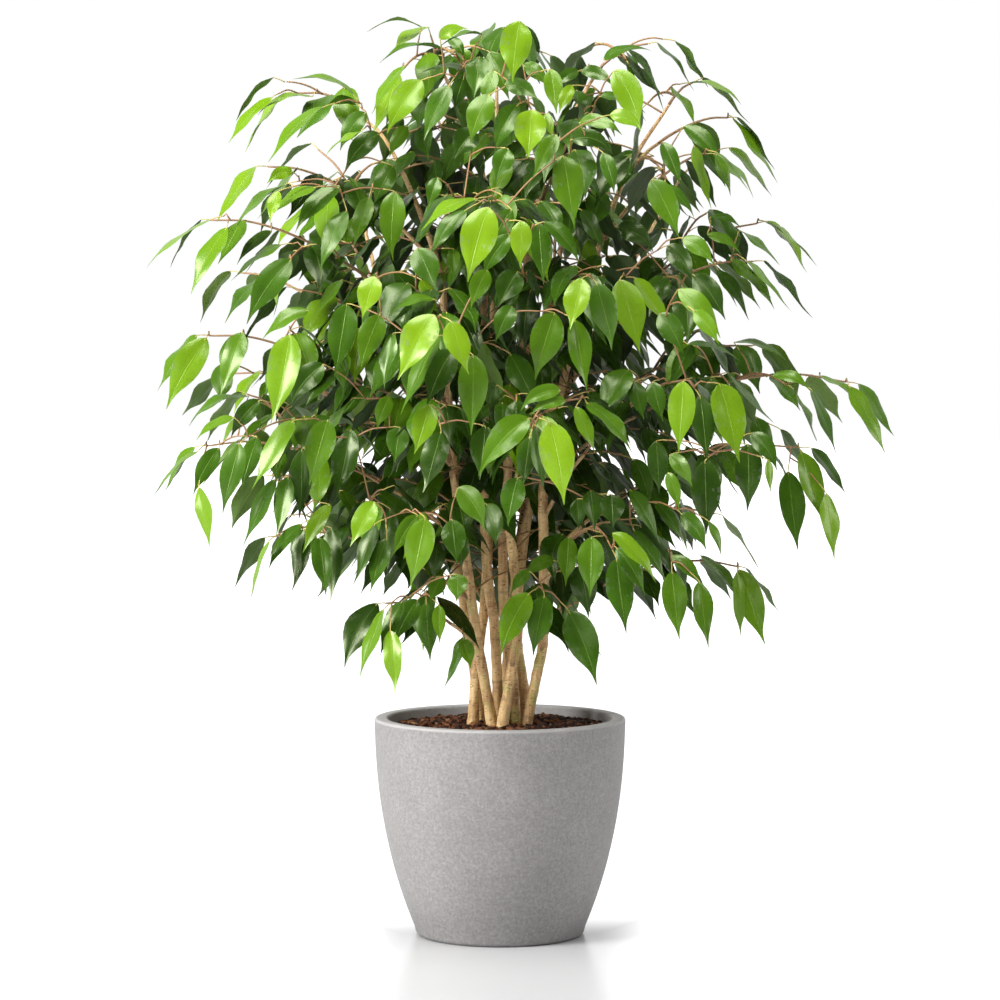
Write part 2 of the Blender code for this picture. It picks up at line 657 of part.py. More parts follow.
def main():
    for old in list(bpy.data.objects):
        bpy.data.objects.remove(old)
    plant = bpy.data.collections.new("weeping_fig")
    bpy.context.scene.collection.children.link(plant)
    stone = material("planter_stone", (0.36, 0.345, 0.33), 0.75)
    soil = material("soil", (0.035, 0.02, 0.012), 0.95)
    mulch = material("bark_chips", (0.055, 0.018, 0.008), 0.85)
    bark = material("stem_bark", (0.16, 0.09, 0.05), 0.8)
    greens = [material(f"leaf_green_{i + 1}", colour, 0.35) for i, colour in enumerate(LEAF_COLOURS)]

    stems, limbs, shoots = skeleton()
    planter = make_planter(stone, plant)
    make_soil(stems, soil, plant)
    layer = make_mulch(stems, mulch, plant)

    graph = bpy.context.evaluated_depsgraph_get()
    rim = bpy.data.meshes.new_from_object(planter.evaluated_get(graph))
    obstacles = [("planter", surface(rim)), ("bark_mulch", surface(layer.data))]
    for name, path in stems.items():
        stem = add_object(name, tube(name, path, stem_radii(path), STEM_SIDES), plant, bark)
        arms = [tube("limb", limb, taper(limb, LIMB_RADIUS, SHOOT_RADIUS), LIMB_SIDES) for limb in limbs[name]]
        obstacles.append((name, surface(stem.data)))
        obstacles += [(name, surface(arm)) for arm in arms]
        combine(stem, arms, "UNION")
    twigs = {
        node: [
            tube("twig", path, taper(path, SHOOT_RADIUS, TWIG_TIP_RADIUS), TWIG_SIDES)
            for path in paths
        ]
        for node, paths in shoots.items()
    }
    leaves = grow_leaves(shoots, twigs, obstacles)
    for number, (node, parts) in enumerate(twigs.items()):
        shoot = add_object(node, parts[0], plant, greens[number % len(greens)])
        combine(shoot, parts[1:] + leaves[node], "UNION")
    print(sum(len(found) for found in leaves.values()), "leaves on", len(shoots), "shoots")


if __name__ == "__main__":
    main()
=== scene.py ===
"""The looks of a weeping fig in a concrete-grey planter.

The branches and the main leaves grow by the same rules and from the same
numbers as the solids, which stand in the frame. Every shoot here replaces its
solid with the same leaves at full detail, and adds the leaves and side twigs
between them. Metres, +Z up, with the plant's front towards -Y.
"""

import math
import random

import bpy
import numpy as np
from mathutils import Matrix, Vector
from mathutils.bvhtree import BVHTree
from mathutils.kdtree import KDTree
from mathutils.noise import noise


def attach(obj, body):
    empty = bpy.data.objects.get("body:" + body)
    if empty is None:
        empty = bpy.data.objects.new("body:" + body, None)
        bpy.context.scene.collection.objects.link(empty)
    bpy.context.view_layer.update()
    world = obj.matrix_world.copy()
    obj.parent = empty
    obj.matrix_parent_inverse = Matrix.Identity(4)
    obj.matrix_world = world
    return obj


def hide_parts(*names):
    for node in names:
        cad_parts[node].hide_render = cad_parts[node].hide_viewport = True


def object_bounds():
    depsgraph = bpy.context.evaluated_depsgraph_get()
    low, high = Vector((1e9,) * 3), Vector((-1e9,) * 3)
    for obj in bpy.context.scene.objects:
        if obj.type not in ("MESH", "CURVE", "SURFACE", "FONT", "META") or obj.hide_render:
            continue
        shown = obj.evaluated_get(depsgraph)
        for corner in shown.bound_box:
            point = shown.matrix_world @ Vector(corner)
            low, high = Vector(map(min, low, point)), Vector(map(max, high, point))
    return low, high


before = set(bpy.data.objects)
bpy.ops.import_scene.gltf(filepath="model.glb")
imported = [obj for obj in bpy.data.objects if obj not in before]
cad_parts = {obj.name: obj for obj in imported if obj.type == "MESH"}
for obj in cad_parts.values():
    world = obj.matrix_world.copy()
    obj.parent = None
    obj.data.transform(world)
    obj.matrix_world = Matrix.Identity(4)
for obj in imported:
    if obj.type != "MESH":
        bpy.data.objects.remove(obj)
CAD_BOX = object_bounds()

CM = 0.01
MM = 0.001
UP = Vector((0, 0, 1))
GAP = 0.3 * MM  # between two solids that touch

# Planter
RIM_RADIUS = 150 * MM
POT_HEIGHT = 260 * MM
POT_LEAN = 6 * MM  # how far the side leans in from rim to foot, before its belly
POT_BELLY = 46 * MM  # how far it curves in towards the foot
POT_CURVE = 2.35  # power of that curve
WALL = 16.5 * MM
RIM_ROUND = 3.5 * MM
FOOT_ROUND = 7 * MM
FOOT_HEIGHT = 10.5 * MM
FLOOR = 20 * MM
POT_SIDES = 160

# Soil and mulch
SOIL_TOP = 236 * MM
MULCH_TOP = 249 * MM
MULCH_MOUND = 5 * MM
MULCH_SIDES = 96
MULCH_RINGS = (1.0, 0.985, 0.93, 0.85, 0.75, 0.65, 0.55, 0.45, 0.35, 0.25, 0.15, 0.06)
MULCH_SEED = 11
CHIP_COUNT = 1100
CHIP_TRIES = 60  # spots tried for each chip at most
CHIP_SPACING = 4.2 * MM
CHIP_TO_WALL = 8 * MM
CHIP_TO_STEM = 11 * MM

# Stems and limbs
STEM_BOTTOM = 208 * MM
STEM_SIDES = 18
LIMB_SIDES = 12
SHOOT_SIDES = 8
TWIG_SIDES = 6
STEM_RADIUS = 6.2 * MM
STEM_TIP_RADIUS = 1.7 * MM
STEM_TAPER = 2.2
LIMB_RADIUS = 2.6 * MM
SHOOT_RADIUS = 1.9 * MM
TWIG_TIP_RADIUS = 1.4 * MM
CLEARANCE = 2.5 * MM  # kept between branches that pass each other

# Branches
MAIN_STEPS = 5  # straight runs in a limb with its shoot
LIMB_STEPS = 1.5  # of those, how many are woody limb
FORK_STEPS = 3
ARCH = 0.16  # rise of a branch above its chord, as a share of the chord
SWINGS = (0, 20, -20, 40, -40, 60, -60, 80, -80)  # degrees, tried in turn
START_SHIFTS = (0, 1.0, -1.0, 2.0, -2.0, 3.0)  # cm along the stem, tried in turn
FORK_STARTS = (0.34, 0.48, 0.6)  # where forks leave a shoot's main twig, as shares of it

# Leaves
LEAF_SPACING = 47 * MM
LEAF_LENGTH = (64 * MM, 88 * MM)
LEAF_WIDTH = (0.40, 0.47)  # share of the blade's length
BLADE_FOLD = 0.16  # how far the edges stand above the midrib, as a share of half width
PETIOLE_LENGTH = (10 * MM, 16 * MM)
EDGE_STATIONS = ((0.13, 0.74), (0.43, 1.0), (0.79, 0.33))  # share of length, share of half width
LEAF_TURNS = (0, 25, -25, 50, -50, 75, -75)  # degrees about the vertical, tried in turn

# The tables below are centimetres read on the upright plane through the pot's
# axis, as an eye at this distance and height sees them, with y the true depth.
EYE_DISTANCE = 4.0
EYE_HEIGHT = 0.708

STEMS = {
    "stem_1": ((-0.9, -2.2, 25), (-2.2, -2.6, 32.3), (-3.0, -2.8, 37.2), (-4.0, -2.8, 44.4),
               (-5.5, -2.5, 55.4), (-6.3, -2.5, 66), (-6.9, -3, 77.3), (-9.2, -4, 85.3),
               (-13.3, -5, 94.2), (-16.5, -5, 97.5)),
    "stem_2": ((-0.3, 0.3, 25), (-0.3, 0.1, 29), (-0.7, -0.6, 37.2), (-1.4, -0.9, 42),
               (-1.9, -0.7, 52), (-2.1, -0.7, 66), (-1.7, -1.2, 85), (-2.6, -1.8, 93.5),
               (-4.4, -2.6, 97.8), (-7.2, -3.3, 103.5)),
    "stem_3": ((1.7, -0.3, 25), (1.6, -0.1, 30), (0.9, 0.9, 35), (0.4, 1.3, 40),
               (0.3, 1.2, 50), (-0.4, 1.4, 62), (-0.8, 2, 78), (-0.4, 2, 92), (-0.4, 1.2, 103)),
    "stem_4": ((0.3, -3.4, 25), (1.3, -2.9, 31.1), (2.1, -2.5, 36), (2.0, -2.2, 41),
               (0.9, -1.8, 52), (1.2, -1.7, 59), (2.5, -1.5, 71), (3.3, -1.6, 81.3),
               (5.5, -2, 91), (9.9, -2.8, 100), (11.7, -3, 102.8)),
    "stem_5": ((3.1, -1.8, 25), (4.4, -2.0, 31.1), (5.2, -2.0, 36), (5.2, -1.8, 47),
               (5.2, -1.6, 54), (6.8, -1, 63), (10.9, -0.3, 79.1), (15.1, -1.5, 90.9),
               (20.0, -2.5, 98.8)),
    "stem_6": ((3.2, 2.2, 25), (2.9, 2.2, 29), (2.0, 2.5, 36), (2.6, 3.0, 45), (4.2, 3.3, 54),
               (8, 4.5, 65), (13.5, 6.4, 76), (19, 7.5, 86)),
    "stem_7": ((0.4, 2.6, 25), (0.8, 3.4, 32), (1.8, 5, 42), (3.5, 8, 55), (5.5, 11, 68),
               (7, 13, 80), (8, 14, 90)),
    "stem_8": ((-3.2, -1.0, 25), (-2.8, -0.4, 32.3), (-1.9, 1.2, 39), (-1.4, 3.0, 48),
               (-1.6, 5.2, 60), (-3, 7.5, 72), (-4.6, 9, 84), (-6, 9.5, 93)),
    "stem_9": ((-2.3, 1.7, 25), (-3.0, 2.2, 31), (-4.4, 3.4, 40), (-7, 6, 52), (-10.5, 9, 64),
               (-14, 11, 76), (-16.5, 12, 86)),
}

# Each stem's top shoot: the tips of its main twig and of its forks.
TOPS = {
    "stem_1": ((-24, -5, 100.2), (-18.5, -9, 100.8)),
    "stem_2": ((-8.2, -4, 107), (-11.5, -9, 103), (-4.5, -10, 103.5)),
    "stem_3": ((-0.8, 0, 106.8), (2.0, -6, 107.8), (5, 4, 105)),
    "stem_4": ((17.5, -4, 106), (15, -10, 104), (10, 4, 105)),
    "stem_5": ((22.8, -3, 101.4), (17.5, -8, 99)),
    "stem_6": ((24, 9, 92.5), (17, 13, 93)),
    "stem_7": ((10, 17, 99), (3.5, 14, 98)),
    "stem_8": ((-9.5, 13, 100.5), (-3, 8, 99.5)),
    "stem_9": ((-21.5, 14, 93.5), (-14, 18, 92)),
}

# Branches: the stem, the height where the limb leaves it, and the tips.
BRANCHES = {
    "left_91": ("stem_1", 80, ((-27.5, -2, 91.5), (-20, -11, 88.5))),
    "left_85": ("stem_1", 70, ((-34.4, -4, 85.2), (-25, -11, 80.5))),
    "left_77": ("stem_1", 63, ((-24, -7, 77), (-15.3, -15, 78.3))),
    "left_71": ("stem_1", 56, ((-34.6, -3, 71.5), (-25.5, -15, 71.3))),
    "left_58": ("stem_1", 47, ((-34.9, -4, 58.4), (-24.3, -16, 61.7), (-30, 3, 64.5))),
    "left_54": ("stem_9", 44, ((-27, 6, 54.8), (-21, 17, 56))),
    "left_48": ("stem_1", 40, ((-26.9, -6, 47.6), (-15.5, -16, 51.8))),
    "left_40": ("stem_1", 34.5, ((-13.6, -7, 39.6), (-8.8, -11, 41))),
    "right_97": ("stem_5", 91, ((27, -4, 97.3),)),
    "right_93": ("stem_5", 83, ((26, -2, 93.5), (19.5, -12, 90.5))),
    "right_85": ("stem_6", 69, ((30.5, 2, 84.8), (24.5, -3, 86))),
    "right_80": ("stem_5", 68, ((30, -7, 80.3), (21.5, -13, 77.5))),
    "right_70": ("stem_6", 57, ((30, 4, 70.3), (23, -2, 72))),
    "right_66": ("stem_5", 55, ((41.1, -3, 66), (27, -13, 66), (34, -9, 65.7))),
    "right_64": ("stem_5", 50, ((21.7, -18, 66.2), (15, -13, 64.5))),
    "right_58": ("stem_5", 45, ((35.5, -5, 58.2), (24, -13, 57.5))),
    "right_44": ("stem_5", 37.5, ((28.3, -6, 44), (20, -12, 45.8))),
    "right_48": ("stem_5", 41.5, ((11.5, -19, 48.2), (15.5, -14, 49))),
    "right_50": ("stem_6", 43, ((25.5, 8, 50.3), (17, 19, 49))),
    "right_39": ("stem_5", 33.5, ((7.8, -7, 39.6),)),
    "front_87": ("stem_2", 75, ((-1.2, -20, 87.3), (2.3, -17, 85.5), (-5.5, -17, 88))),
    "front_74": ("stem_1", 60, ((-6.3, -22, 74), (-3.8, -21, 69.3), (-10, -18, 77))),
    "front_64": ("stem_1", 51, ((-8.3, -20, 63.8), (-16, -15, 64))),
    "front_50": ("stem_1", 43, ((-9, -19, 50.4), (-5.5, -15, 52))),
    "front_62": ("stem_4", 50, ((5.0, -26, 61.9), (9.5, -20, 64), (0.5, -21, 65))),
    "front_78": ("stem_4", 65, ((9.2, -19, 78.6), (14.8, -17, 78.4), (4, -18, 77))),
    "front_95": ("stem_4", 83, ((8.4, -15, 93.2), (3.6, -12, 98.5), (11, -10, 98))),
    "front_41": ("stem_4", 32, ((3.7, -12, 41.3),)),
    "back_66": ("stem_9", 54, ((-32, 13, 67), (-24, 23, 64))),
    "back_77": ("stem_9", 64, ((-31, 17, 79), (-21, 25, 77))),
    "back_88": ("stem_9", 75, ((-24, 20, 89), (-17, 24, 86))),
    "back_46": ("stem_8", 40, ((-17, 20, 46.5), (-9, 24, 48))),
    "back_60": ("stem_8", 51, ((-14, 30, 62), (-6, 30, 58))),
    "back_80": ("stem_8", 67, ((-12, 29, 82), (-4, 26, 85))),
    "back_55": ("stem_7", 44, ((5, 32, 56), (13, 27, 52))),
    "back_72": ("stem_7", 58, ((8, 34, 74), (-1, 33, 70))),
    "back_89": ("stem_7", 74, ((7, 26, 91), (14, 24, 87))),
    "back_63": ("stem_6", 53, ((25, 22, 65), (32, 12, 61))),
    "back_79": ("stem_6", 65, ((24, 22, 80), (16, 28, 77))),
}

# Tones of a leaf, from young lime to the oldest, which is nearly black. They are partly the
# leaf's age and partly painted light and shade: the darker tones also stand for the crown's shade.
LIME, BRIGHT, FRESH, GREEN, DEEP, DARK = 0.94, 0.76, 0.55, 0.38, 0.22, 0.09

# Leaves that the front view shows at a known place: base x, z and tip x, z, all
# centimetres on the plane through the pot's axis, then width and tone, which holds painted light and
# shade as well as age.
SHOWN_LEAVES = (
    # the large leaves in front
    (2.3, 108.7, 1.3, 101.5, 3.9, BRIGHT), (3.7, 98.2, 3.4, 92.5, 4.0, LIME),
    (-1.4, 86.7, -3.8, 77.9, 4.5, LIME), (-2.8, 87.7, -8.5, 82.5, 2.0, BRIGHT),
    (2.5, 85.1, 2.5, 79.5, 2.7, LIME), (-7.9, 74, -11.3, 65.9, 4.4, LIME),
    (-5.8, 73.2, -4.4, 66.8, 3.3, LIME), (-25, 71.6, -26.3, 61.1, 4.2, BRIGHT),
    (5.9, 61.2, 7.9, 51.6, 4.3, LIME), (14.2, 78.1, 16.5, 69.4, 4.0, BRIGHT),
    (21.8, 66.1, 21.3, 57.7, 3.4, BRIGHT), (26.1, 65.8, 28.4, 56.5, 4.3, BRIGHT),
    (9.7, 78.3, 8.6, 72.2, 3.3, LIME), (-34.9, 71.2, -38.7, 62.5, 3.5, BRIGHT),
    (-14.9, 78.5, -16.1, 73.6, 3.0, LIME), (-8.9, 49.8, -10.3, 41.6, 3.6, FRESH),
    (-3.2, 69.2, -3, 59.9, 3.7, GREEN), (3.5, 40.8, 0.2, 33.3, 3.5, FRESH),
    (-8.3, 63.3, -9.7, 57.3, 3.0, BRIGHT), (-15, 51.7, -17.2, 46.2, 2.9, BRIGHT),
    (3.5, 61.7, -1.8, 54.1, 3.6, GREEN), (7.5, 92.8, 8.9, 84.3, 4.0, GREEN),
    (18, 90, 20.6, 83, 3.3, GREEN), (-9.3, 101.7, -12.7, 95, 3.5, BRIGHT),
    (13.6, 102.9, 16.6, 95.8, 3.5, BRIGHT), (21.2, 77, 25.5, 70.6, 2.8, FRESH),
    (10.9, 47.5, 10.7, 40.4, 3.3, GREEN), (13.4, 48, 17.8, 41.4, 2.3, BRIGHT),
    (6.5, 74.2, 4.4, 66.2, 4.0, GREEN), (8.9, 73.4, 10, 65, 3.0, GREEN),
    (-13.1, 36.3, -12.2, 28.9, 2.4, BRIGHT), (-24.6, 61.4, -28.4, 52.9, 3.0, FRESH),
    (-14.3, 74, -16.3, 67.4, 3.2, GREEN), (28.5, 43.6, 30.9, 34.7, 3.4, FRESH),
    (35.8, 57.7, 38.2, 49, 3.0, FRESH), (38.9, 52.7, 39.8, 45, 2.0, BRIGHT),
    (34.3, 55.3, 35.3, 46, 3.2, DEEP), (-5.7, 49.6, -5.4, 44.3, 3.0, DEEP),
    (-5.0, 53.4, -1.9, 48.1, 3.0, GREEN), (2.1, 54.6, 0.8, 48.9, 3.0, DEEP),
    (-8.8, 39.7, -8.6, 32.7, 2.7, DEEP), (-4.4, 35.4, -3.5, 31.7, 1.9, FRESH),
    (-4.2, 35.7, -5.8, 29.4, 1.6, DEEP), (-5.0, 43.1, -5.1, 39.8, 2.6, GREEN),
    (5.3, 40.5, 4.1, 33.4, 3.2, DEEP), (8.2, 38.7, 11.2, 30.0, 4.0, DEEP),
    # top left
    (-17.3, 99.9, -24.6, 102.2, 1.4, FRESH), (-22.2, 99.8, -28.3, 96.3, 1.2, BRIGHT),
    (-27.0, 99.7, -31.1, 93.5, 1.7, BRIGHT), (-20.8, 98.6, -26.2, 91.0, 2.1, FRESH),
    (-15.9, 97.9, -18.7, 93.1, 2.4, DEEP), (-17.0, 98.9, -20.9, 98.2, 1.3, DEEP),
    (-14.3, 95.4, -18.0, 90.4, 2.6, DARK), (-11.3, 103.4, -14.6, 97.3, 1.9, FRESH),
    (-16.4, 95.7, -19.9, 92.0, 1.3, BRIGHT), (-24.6, 90.9, -27.5, 88.9, 1.6, BRIGHT),
    (-25.2, 89.5, -30.7, 82.6, 1.6, GREEN), (-26.3, 88.6, -27.3, 84.8, 1.6, LIME),
    (-21.8, 89.1, -26.5, 84.4, 1.9, FRESH), (-19.0, 89.1, -23.5, 82.9, 2.2, DEEP),
    (-34.2, 85.3, -40.3, 78.1, 1.2, BRIGHT), (-32.4, 84.3, -36.1, 76.2, 2.6, FRESH),
    (-27.1, 83.9, -30.7, 79.3, 1.6, DEEP), (-25.9, 82.3, -30.7, 76.8, 1.3, GREEN),
    (-24.8, 80.5, -29.2, 72.4, 3.4, DEEP), (-18.2, 86.3, -21.2, 79.1, 2.3, DEEP),
    (-12.5, 88.6, -13.3, 80.5, 3.2, GREEN), (-12.7, 91.6, -14.6, 86.7, 2.5, DEEP),
    (-15.5, 87.9, -17.0, 81.9, 2.3, GREEN), (-9.3, 108, -15.9, 106.7, 0.9, BRIGHT),
    (-7.1, 106.5, -4.0, 108.4, 1.6, BRIGHT), (-6.5, 105.2, -14.3, 102.5, 0.9, GREEN),
    (-2.0, 107.1, -6.8, 104.5, 1.0, GREEN), (-6.1, 106.8, -4.3, 103.9, 1.5, DEEP),
    (-3.6, 102.6, -9.5, 101.9, 1.3, DARK), (-6.0, 101.1, -8.6, 94.4, 2.8, DEEP),
    (-4.3, 101.9, -5.3, 98.2, 2.2, DARK), (-11.0, 96.3, -12.8, 92.4, 1.9, GREEN),
    # top and top right
    (-2.4, 104.5, -2.9, 99.6, 3.0, DEEP), (-0.7, 102.8, -1.8, 98.4, 2.0, GREEN),
    (-1.3, 100, -3.5, 94.2, 3.2, GREEN), (2.1, 98.8, -0.5, 93.1, 2.8, DEEP),
    (0.6, 101.2, 4.2, 98.3, 2.2, DEEP), (2.7, 103.6, 5.4, 100.2, 1.8, GREEN),
    (6.0, 103, 6.7, 97.7, 2.3, FRESH), (9.3, 102.8, 6.9, 100.2, 1.6, DEEP),
    (8.6, 101.1, 7.1, 97.6, 1.6, LIME), (9.6, 102.7, 13.3, 100.2, 1.7, DEEP),
    (12.3, 104.1, 17.8, 105.2, 1.6, DEEP), (11.9, 99.8, 16.7, 96.6, 1.6, DEEP),
    (9.4, 96.7, 14.3, 94.3, 1.8, GREEN), (13.0, 97.6, 16.5, 94.9, 1.8, BRIGHT),
    (8.4, 94.7, 13.6, 92.3, 2.3, DARK), (6.7, 95.3, 4.4, 89.8, 2.5, GREEN),
    (5.4, 97.8, 6.2, 94.7, 1.2, BRIGHT), (-2.9, 95.7, -5.1, 92.0, 3.2, DARK),
    (22.4, 101.4, 28.2, 97.6, 1.1, BRIGHT), (27.6, 97.3, 31.5, 89.0, 2.0, FRESH),
    (21.8, 96.3, 25.6, 91.0, 2.2, DEEP), (23.0, 94.0, 24.6, 86.4, 1.8, BRIGHT),
    (25.6, 93.0, 27.1, 88.0, 1.3, GREEN), (25.6, 93.2, 29.5, 87.2, 1.6, FRESH),
    (19.2, 94.4, 21.3, 89.0, 2.0, DEEP), (19.6, 89.4, 22.4, 85.0, 1.8, DEEP),
    (12.2, 93.2, 13.6, 88.2, 1.9, DEEP), (13.9, 84.3, 17.8, 80.6, 2.6, DARK),
    (19.9, 82.2, 22.5, 77.4, 2.6, DARK), (21.7, 83.1, 24.8, 79.2, 2.2, GREEN),
    (25.8, 79.4, 29.0, 73.0, 2.2, DEEP), (27.4, 80.5, 31.8, 74.0, 1.7, GREEN),
    (29.2, 80.4, 33.4, 73.6, 1.4, FRESH), (23.0, 78.7, 26.1, 73.0, 3.0, DARK),
    (24.9, 85.5, 28.6, 83.6, 1.0, DEEP), (28.4, 84.0, 32.1, 79.0, 1.2, GREEN),
    (31.5, 85.0, 36.3, 78.7, 1.3, BRIGHT), (24.6, 83.5, 28.2, 80.3, 1.6, GREEN),
    # middle
    (-7.3, 71.5, -10.7, 61.9, 2.3, GREEN), (-5.6, 69.8, -8.4, 63.1, 3.7, DARK),
    (-6.4, 63.1, -5.8, 58.4, 2.7, DARK), (-7.0, 60.1, -8.6, 52.8, 3.4, DARK),
    (-11.9, 60.6, -12.6, 56.4, 2.8, DEEP), (-4.8, 62.9, -3.4, 58.2, 2.2, DARK),
    (-1.7, 60.7, -2.4, 54.4, 3.2, DARK), (4.3, 60.7, 5.1, 53.0, 2.3, DEEP),
    (3.5, 59.4, 2.9, 53.2, 2.5, DARK), (7.2, 65.0, 2.8, 61.6, 2.0, GREEN),
    (7.8, 63.7, 3.8, 61.2, 1.8, GREEN), (9.0, 63.0, 11.0, 57.4, 2.0, FRESH),
    (10.3, 63.5, 15.1, 56.6, 2.1, GREEN), (11.5, 77.7, 13.1, 69.8, 3.4, DEEP),
    (-7.8, 75.8, -12.9, 72.8, 1.6, GREEN), (1.5, 75.0, -0.3, 70.6, 2.6, DEEP),
    (-12.7, 71.8, -13.9, 65.3, 2.0, DEEP), (-13.1, 64.3, -14.6, 60.2, 2.0, GREEN),
    (10.8, 53.1, 11.2, 48.3, 2.6, DARK), (13.3, 52.6, 13.4, 48.6, 3.1, DARK),
    (9.2, 52.1, 9.4, 48.4, 2.0, DARK), (-9.8, 50.1, -12.3, 44.9, 2.2, GREEN),
    (-4.0, 86.4, -7.6, 80.3, 2.1, DEEP), (1.4, 86.4, -0.9, 81.4, 2.3, DEEP),
    (1.2, 83.4, -1.7, 78.0, 2.5, DEEP), (-1.5, 79.3, -3.2, 74.6, 2.5, GREEN),
    (-9.9, 81.8, -8.0, 76.6, 3.4, DEEP), (-5.5, 81.8, -5.5, 78.4, 1.6, GREEN),
    (4.6, 84.8, 5.0, 77.6, 2.5, DEEP), (5.2, 85.0, 9.0, 79.5, 2.1, DEEP),
    (2.1, 79.1, 0.2, 74.6, 3.4, DARK), (-7.4, 90.2, -8.3, 86.5, 1.8, DEEP),
    (1.0, 93.6, -0.4, 89.6, 2.6, DEEP), (18.9, 74.1, 21.5, 69.0, 3.0, DEEP),
    # left
    (-30.6, 71.9, -32.8, 64.4, 2.9, GREEN), (-21.0, 68.1, -24.5, 62.6, 3.0, DARK),
    (-18.2, 75.3, -19.3, 66.7, 3.5, DEEP), (-22.8, 74.5, -27.4, 69.9, 2.2, GREEN),
    (-29.9, 64.3, -36.5, 59.4, 1.2, GREEN), (-31.7, 61.8, -35.6, 58.2, 1.4, FRESH),
    (-28.6, 63.8, -31.5, 59.0, 2.3, DARK), (-35.9, 57.8, -40.5, 51.2, 1.4, FRESH),
    (-33.4, 58.1, -36.2, 52.4, 2.3, DEEP), (-35.9, 53.4, -34.3, 46.3, 1.9, BRIGHT),
    (-31.0, 58.7, -32.7, 50.4, 2.9, DEEP), (-28.9, 59.5, -30.5, 53.1, 2.4, DEEP),
    (-20.5, 61.5, -22.3, 53.7, 3.6, GREEN), (-17.8, 60.4, -19.0, 51.9, 3.4, DARK),
    (-23.6, 58.0, -23.6, 49.8, 2.8, DARK), (-26.8, 54.4, -29.9, 46.2, 2.5, DEEP),
    (-25.2, 54.7, -26.5, 47.6, 2.5, DEEP), (-27.5, 47.1, -29.6, 39.9, 1.4, BRIGHT),
    (-23.6, 49.1, -27.1, 43.3, 1.7, DEEP), (-23.3, 48.4, -24.2, 41.1, 2.2, DARK),
    (-20.2, 51.4, -23.0, 45.4, 2.0, BRIGHT), (-21.5, 47.5, -20.9, 40.6, 2.6, DEEP),
    (-20.1, 48.6, -20.0, 40.0, 2.9, DARK), (-14.9, 49.1, -16.8, 41.7, 2.5, DARK),
    (-13.5, 47.3, -15.3, 41.0, 2.4, DEEP), (-13.1, 50.9, -13.4, 43.5, 2.5, DARK),
    # right
    (23.0, 74.5, 25.5, 70.0, 2.1, FRESH), (22.3, 70.5, 27.8, 67.0, 1.5, DEEP),
    (27.8, 70.7, 33.5, 67.2, 1.2, GREEN), (32.4, 66.7, 36.9, 64.1, 1.6, GREEN),
    (37.0, 65.1, 39.5, 57.4, 1.7, DEEP), (38.0, 66.7, 42.7, 61.2, 1.3, FRESH),
    (41.5, 65.5, 45.2, 57.2, 2.0, FRESH), (23.8, 64.3, 24.6, 56.7, 3.0, DARK),
    (18.1, 66.0, 19.0, 61.2, 2.3, DEEP), (15.9, 66.0, 16.9, 61.4, 2.2, DEEP),
    (29.9, 59.9, 32.7, 55.2, 2.5, DEEP), (32.0, 56.7, 32.0, 52.7, 1.3, BRIGHT),
    (29.5, 58.6, 29.7, 50.7, 3.4, DARK), (24.4, 56.6, 24.6, 47.9, 3.8, DARK),
    (18.6, 59.0, 18.9, 52.7, 2.6, DARK), (15.9, 56.8, 18.0, 51.1, 2.4, DEEP),
    (20.2, 57.3, 22.7, 53.2, 2.0, GREEN), (20.0, 55.2, 21.3, 50.6, 1.7, GREEN),
    (15.5, 53.2, 18.4, 46.5, 2.2, DEEP), (18.5, 51.6, 21.5, 46.5, 1.9, DEEP),
    (21.6, 50.3, 24.3, 45.7, 2.3, DEEP), (24.9, 49.4, 26.3, 45.2, 1.2, GREEN),
    (20.5, 45.3, 23.5, 41.0, 1.8, GREEN), (23.9, 45.3, 28.3, 38.5, 1.8, GREEN),
    (20.5, 43.4, 21.1, 35.4, 3.1, GREEN), (23.8, 42.2, 24.6, 34.4, 2.6, GREEN),
    (28.3, 43.2, 28.5, 35.6, 1.6, FRESH), (13.9, 44.9, 14.6, 36.2, 3.5, DEEP),
    (13.9, 46.2, 16.9, 40.2, 2.2, DEEP), (15.9, 48.4, 19.0, 41.7, 1.9, DEEP),
    # low
    (-6.8, 42.8, -8.2, 39.6, 2.1, GREEN), (-9.8, 40.0, -12.3, 34.6, 2.7, DEEP),
    (-11.7, 39.8, -14.0, 33.4, 1.9, DEEP), (-13.9, 38.9, -16.2, 30.8, 1.4, FRESH),
    (-7.3, 39.4, -7.3, 34.8, 1.7, FRESH), (8.2, 47.5, 7.8, 41.7, 2.5, GREEN),
    (9.5, 44.2, 10.6, 38.0, 3.3, DARK), (6.5, 44.7, 3.0, 42.0, 1.8, GREEN),
    (3.6, 43.4, 1.6, 40.4, 1.6, GREEN), (-4.8, 48.0, -4.6, 43.8, 2.4, DARK),
)
# How far the dense part of the crown reaches: height, left and right, in the same centimetres.
CROWN_REACH = (
    (36, -8, 4), (43, -10, 16), (49, -22, 22), (55, -28, 26), (61, -30, 27),
    (67, -25, 26), (73, -24, 22), (79, -23, 22), (85, -23, 20), (91, -17, 16), (97, -13, 13),
    (103, -9, 7), (108, -3, 1),
)
KEPT_OUTSIDE = 0.04  # share of the side twigs' leaves that grow outside it
KEPT_BETWEEN = 0.3  # and of the leaves between the solids' leaves
STEM_WINDOW = (0.8, 5.5, 25, 45)  # middle x, half width, low z and high z, where the stems show
STEM_WINDOW_DEPTH = 3 * CM
SHOWN_FRONT = -32.5  # depth of the foremost shown leaf, in the same centimetres
SHOWN_STEPS = (0.8, 1.4, 2.2, 3.2, 4.4, 6.0, 8.0, 10.0)  # how far forward one is tried, in turn
SHOWN_REACH = 9  # how far from a shown leaf, in the same centimetres, its twig may start
WAYS_TRIED = 24
WAY_RADIUS = 0.9 * MM  # of the room kept for a shown leaf's own twig
LEAST_WIDTH = 0.34  # of a shown leaf, as a share of its length
CORE_REACH = (70 * MM, 120 * MM)
FILL_SIZE = (0.70, 0.96)  # size of the leaves that fill the crown, against the solids' leaves

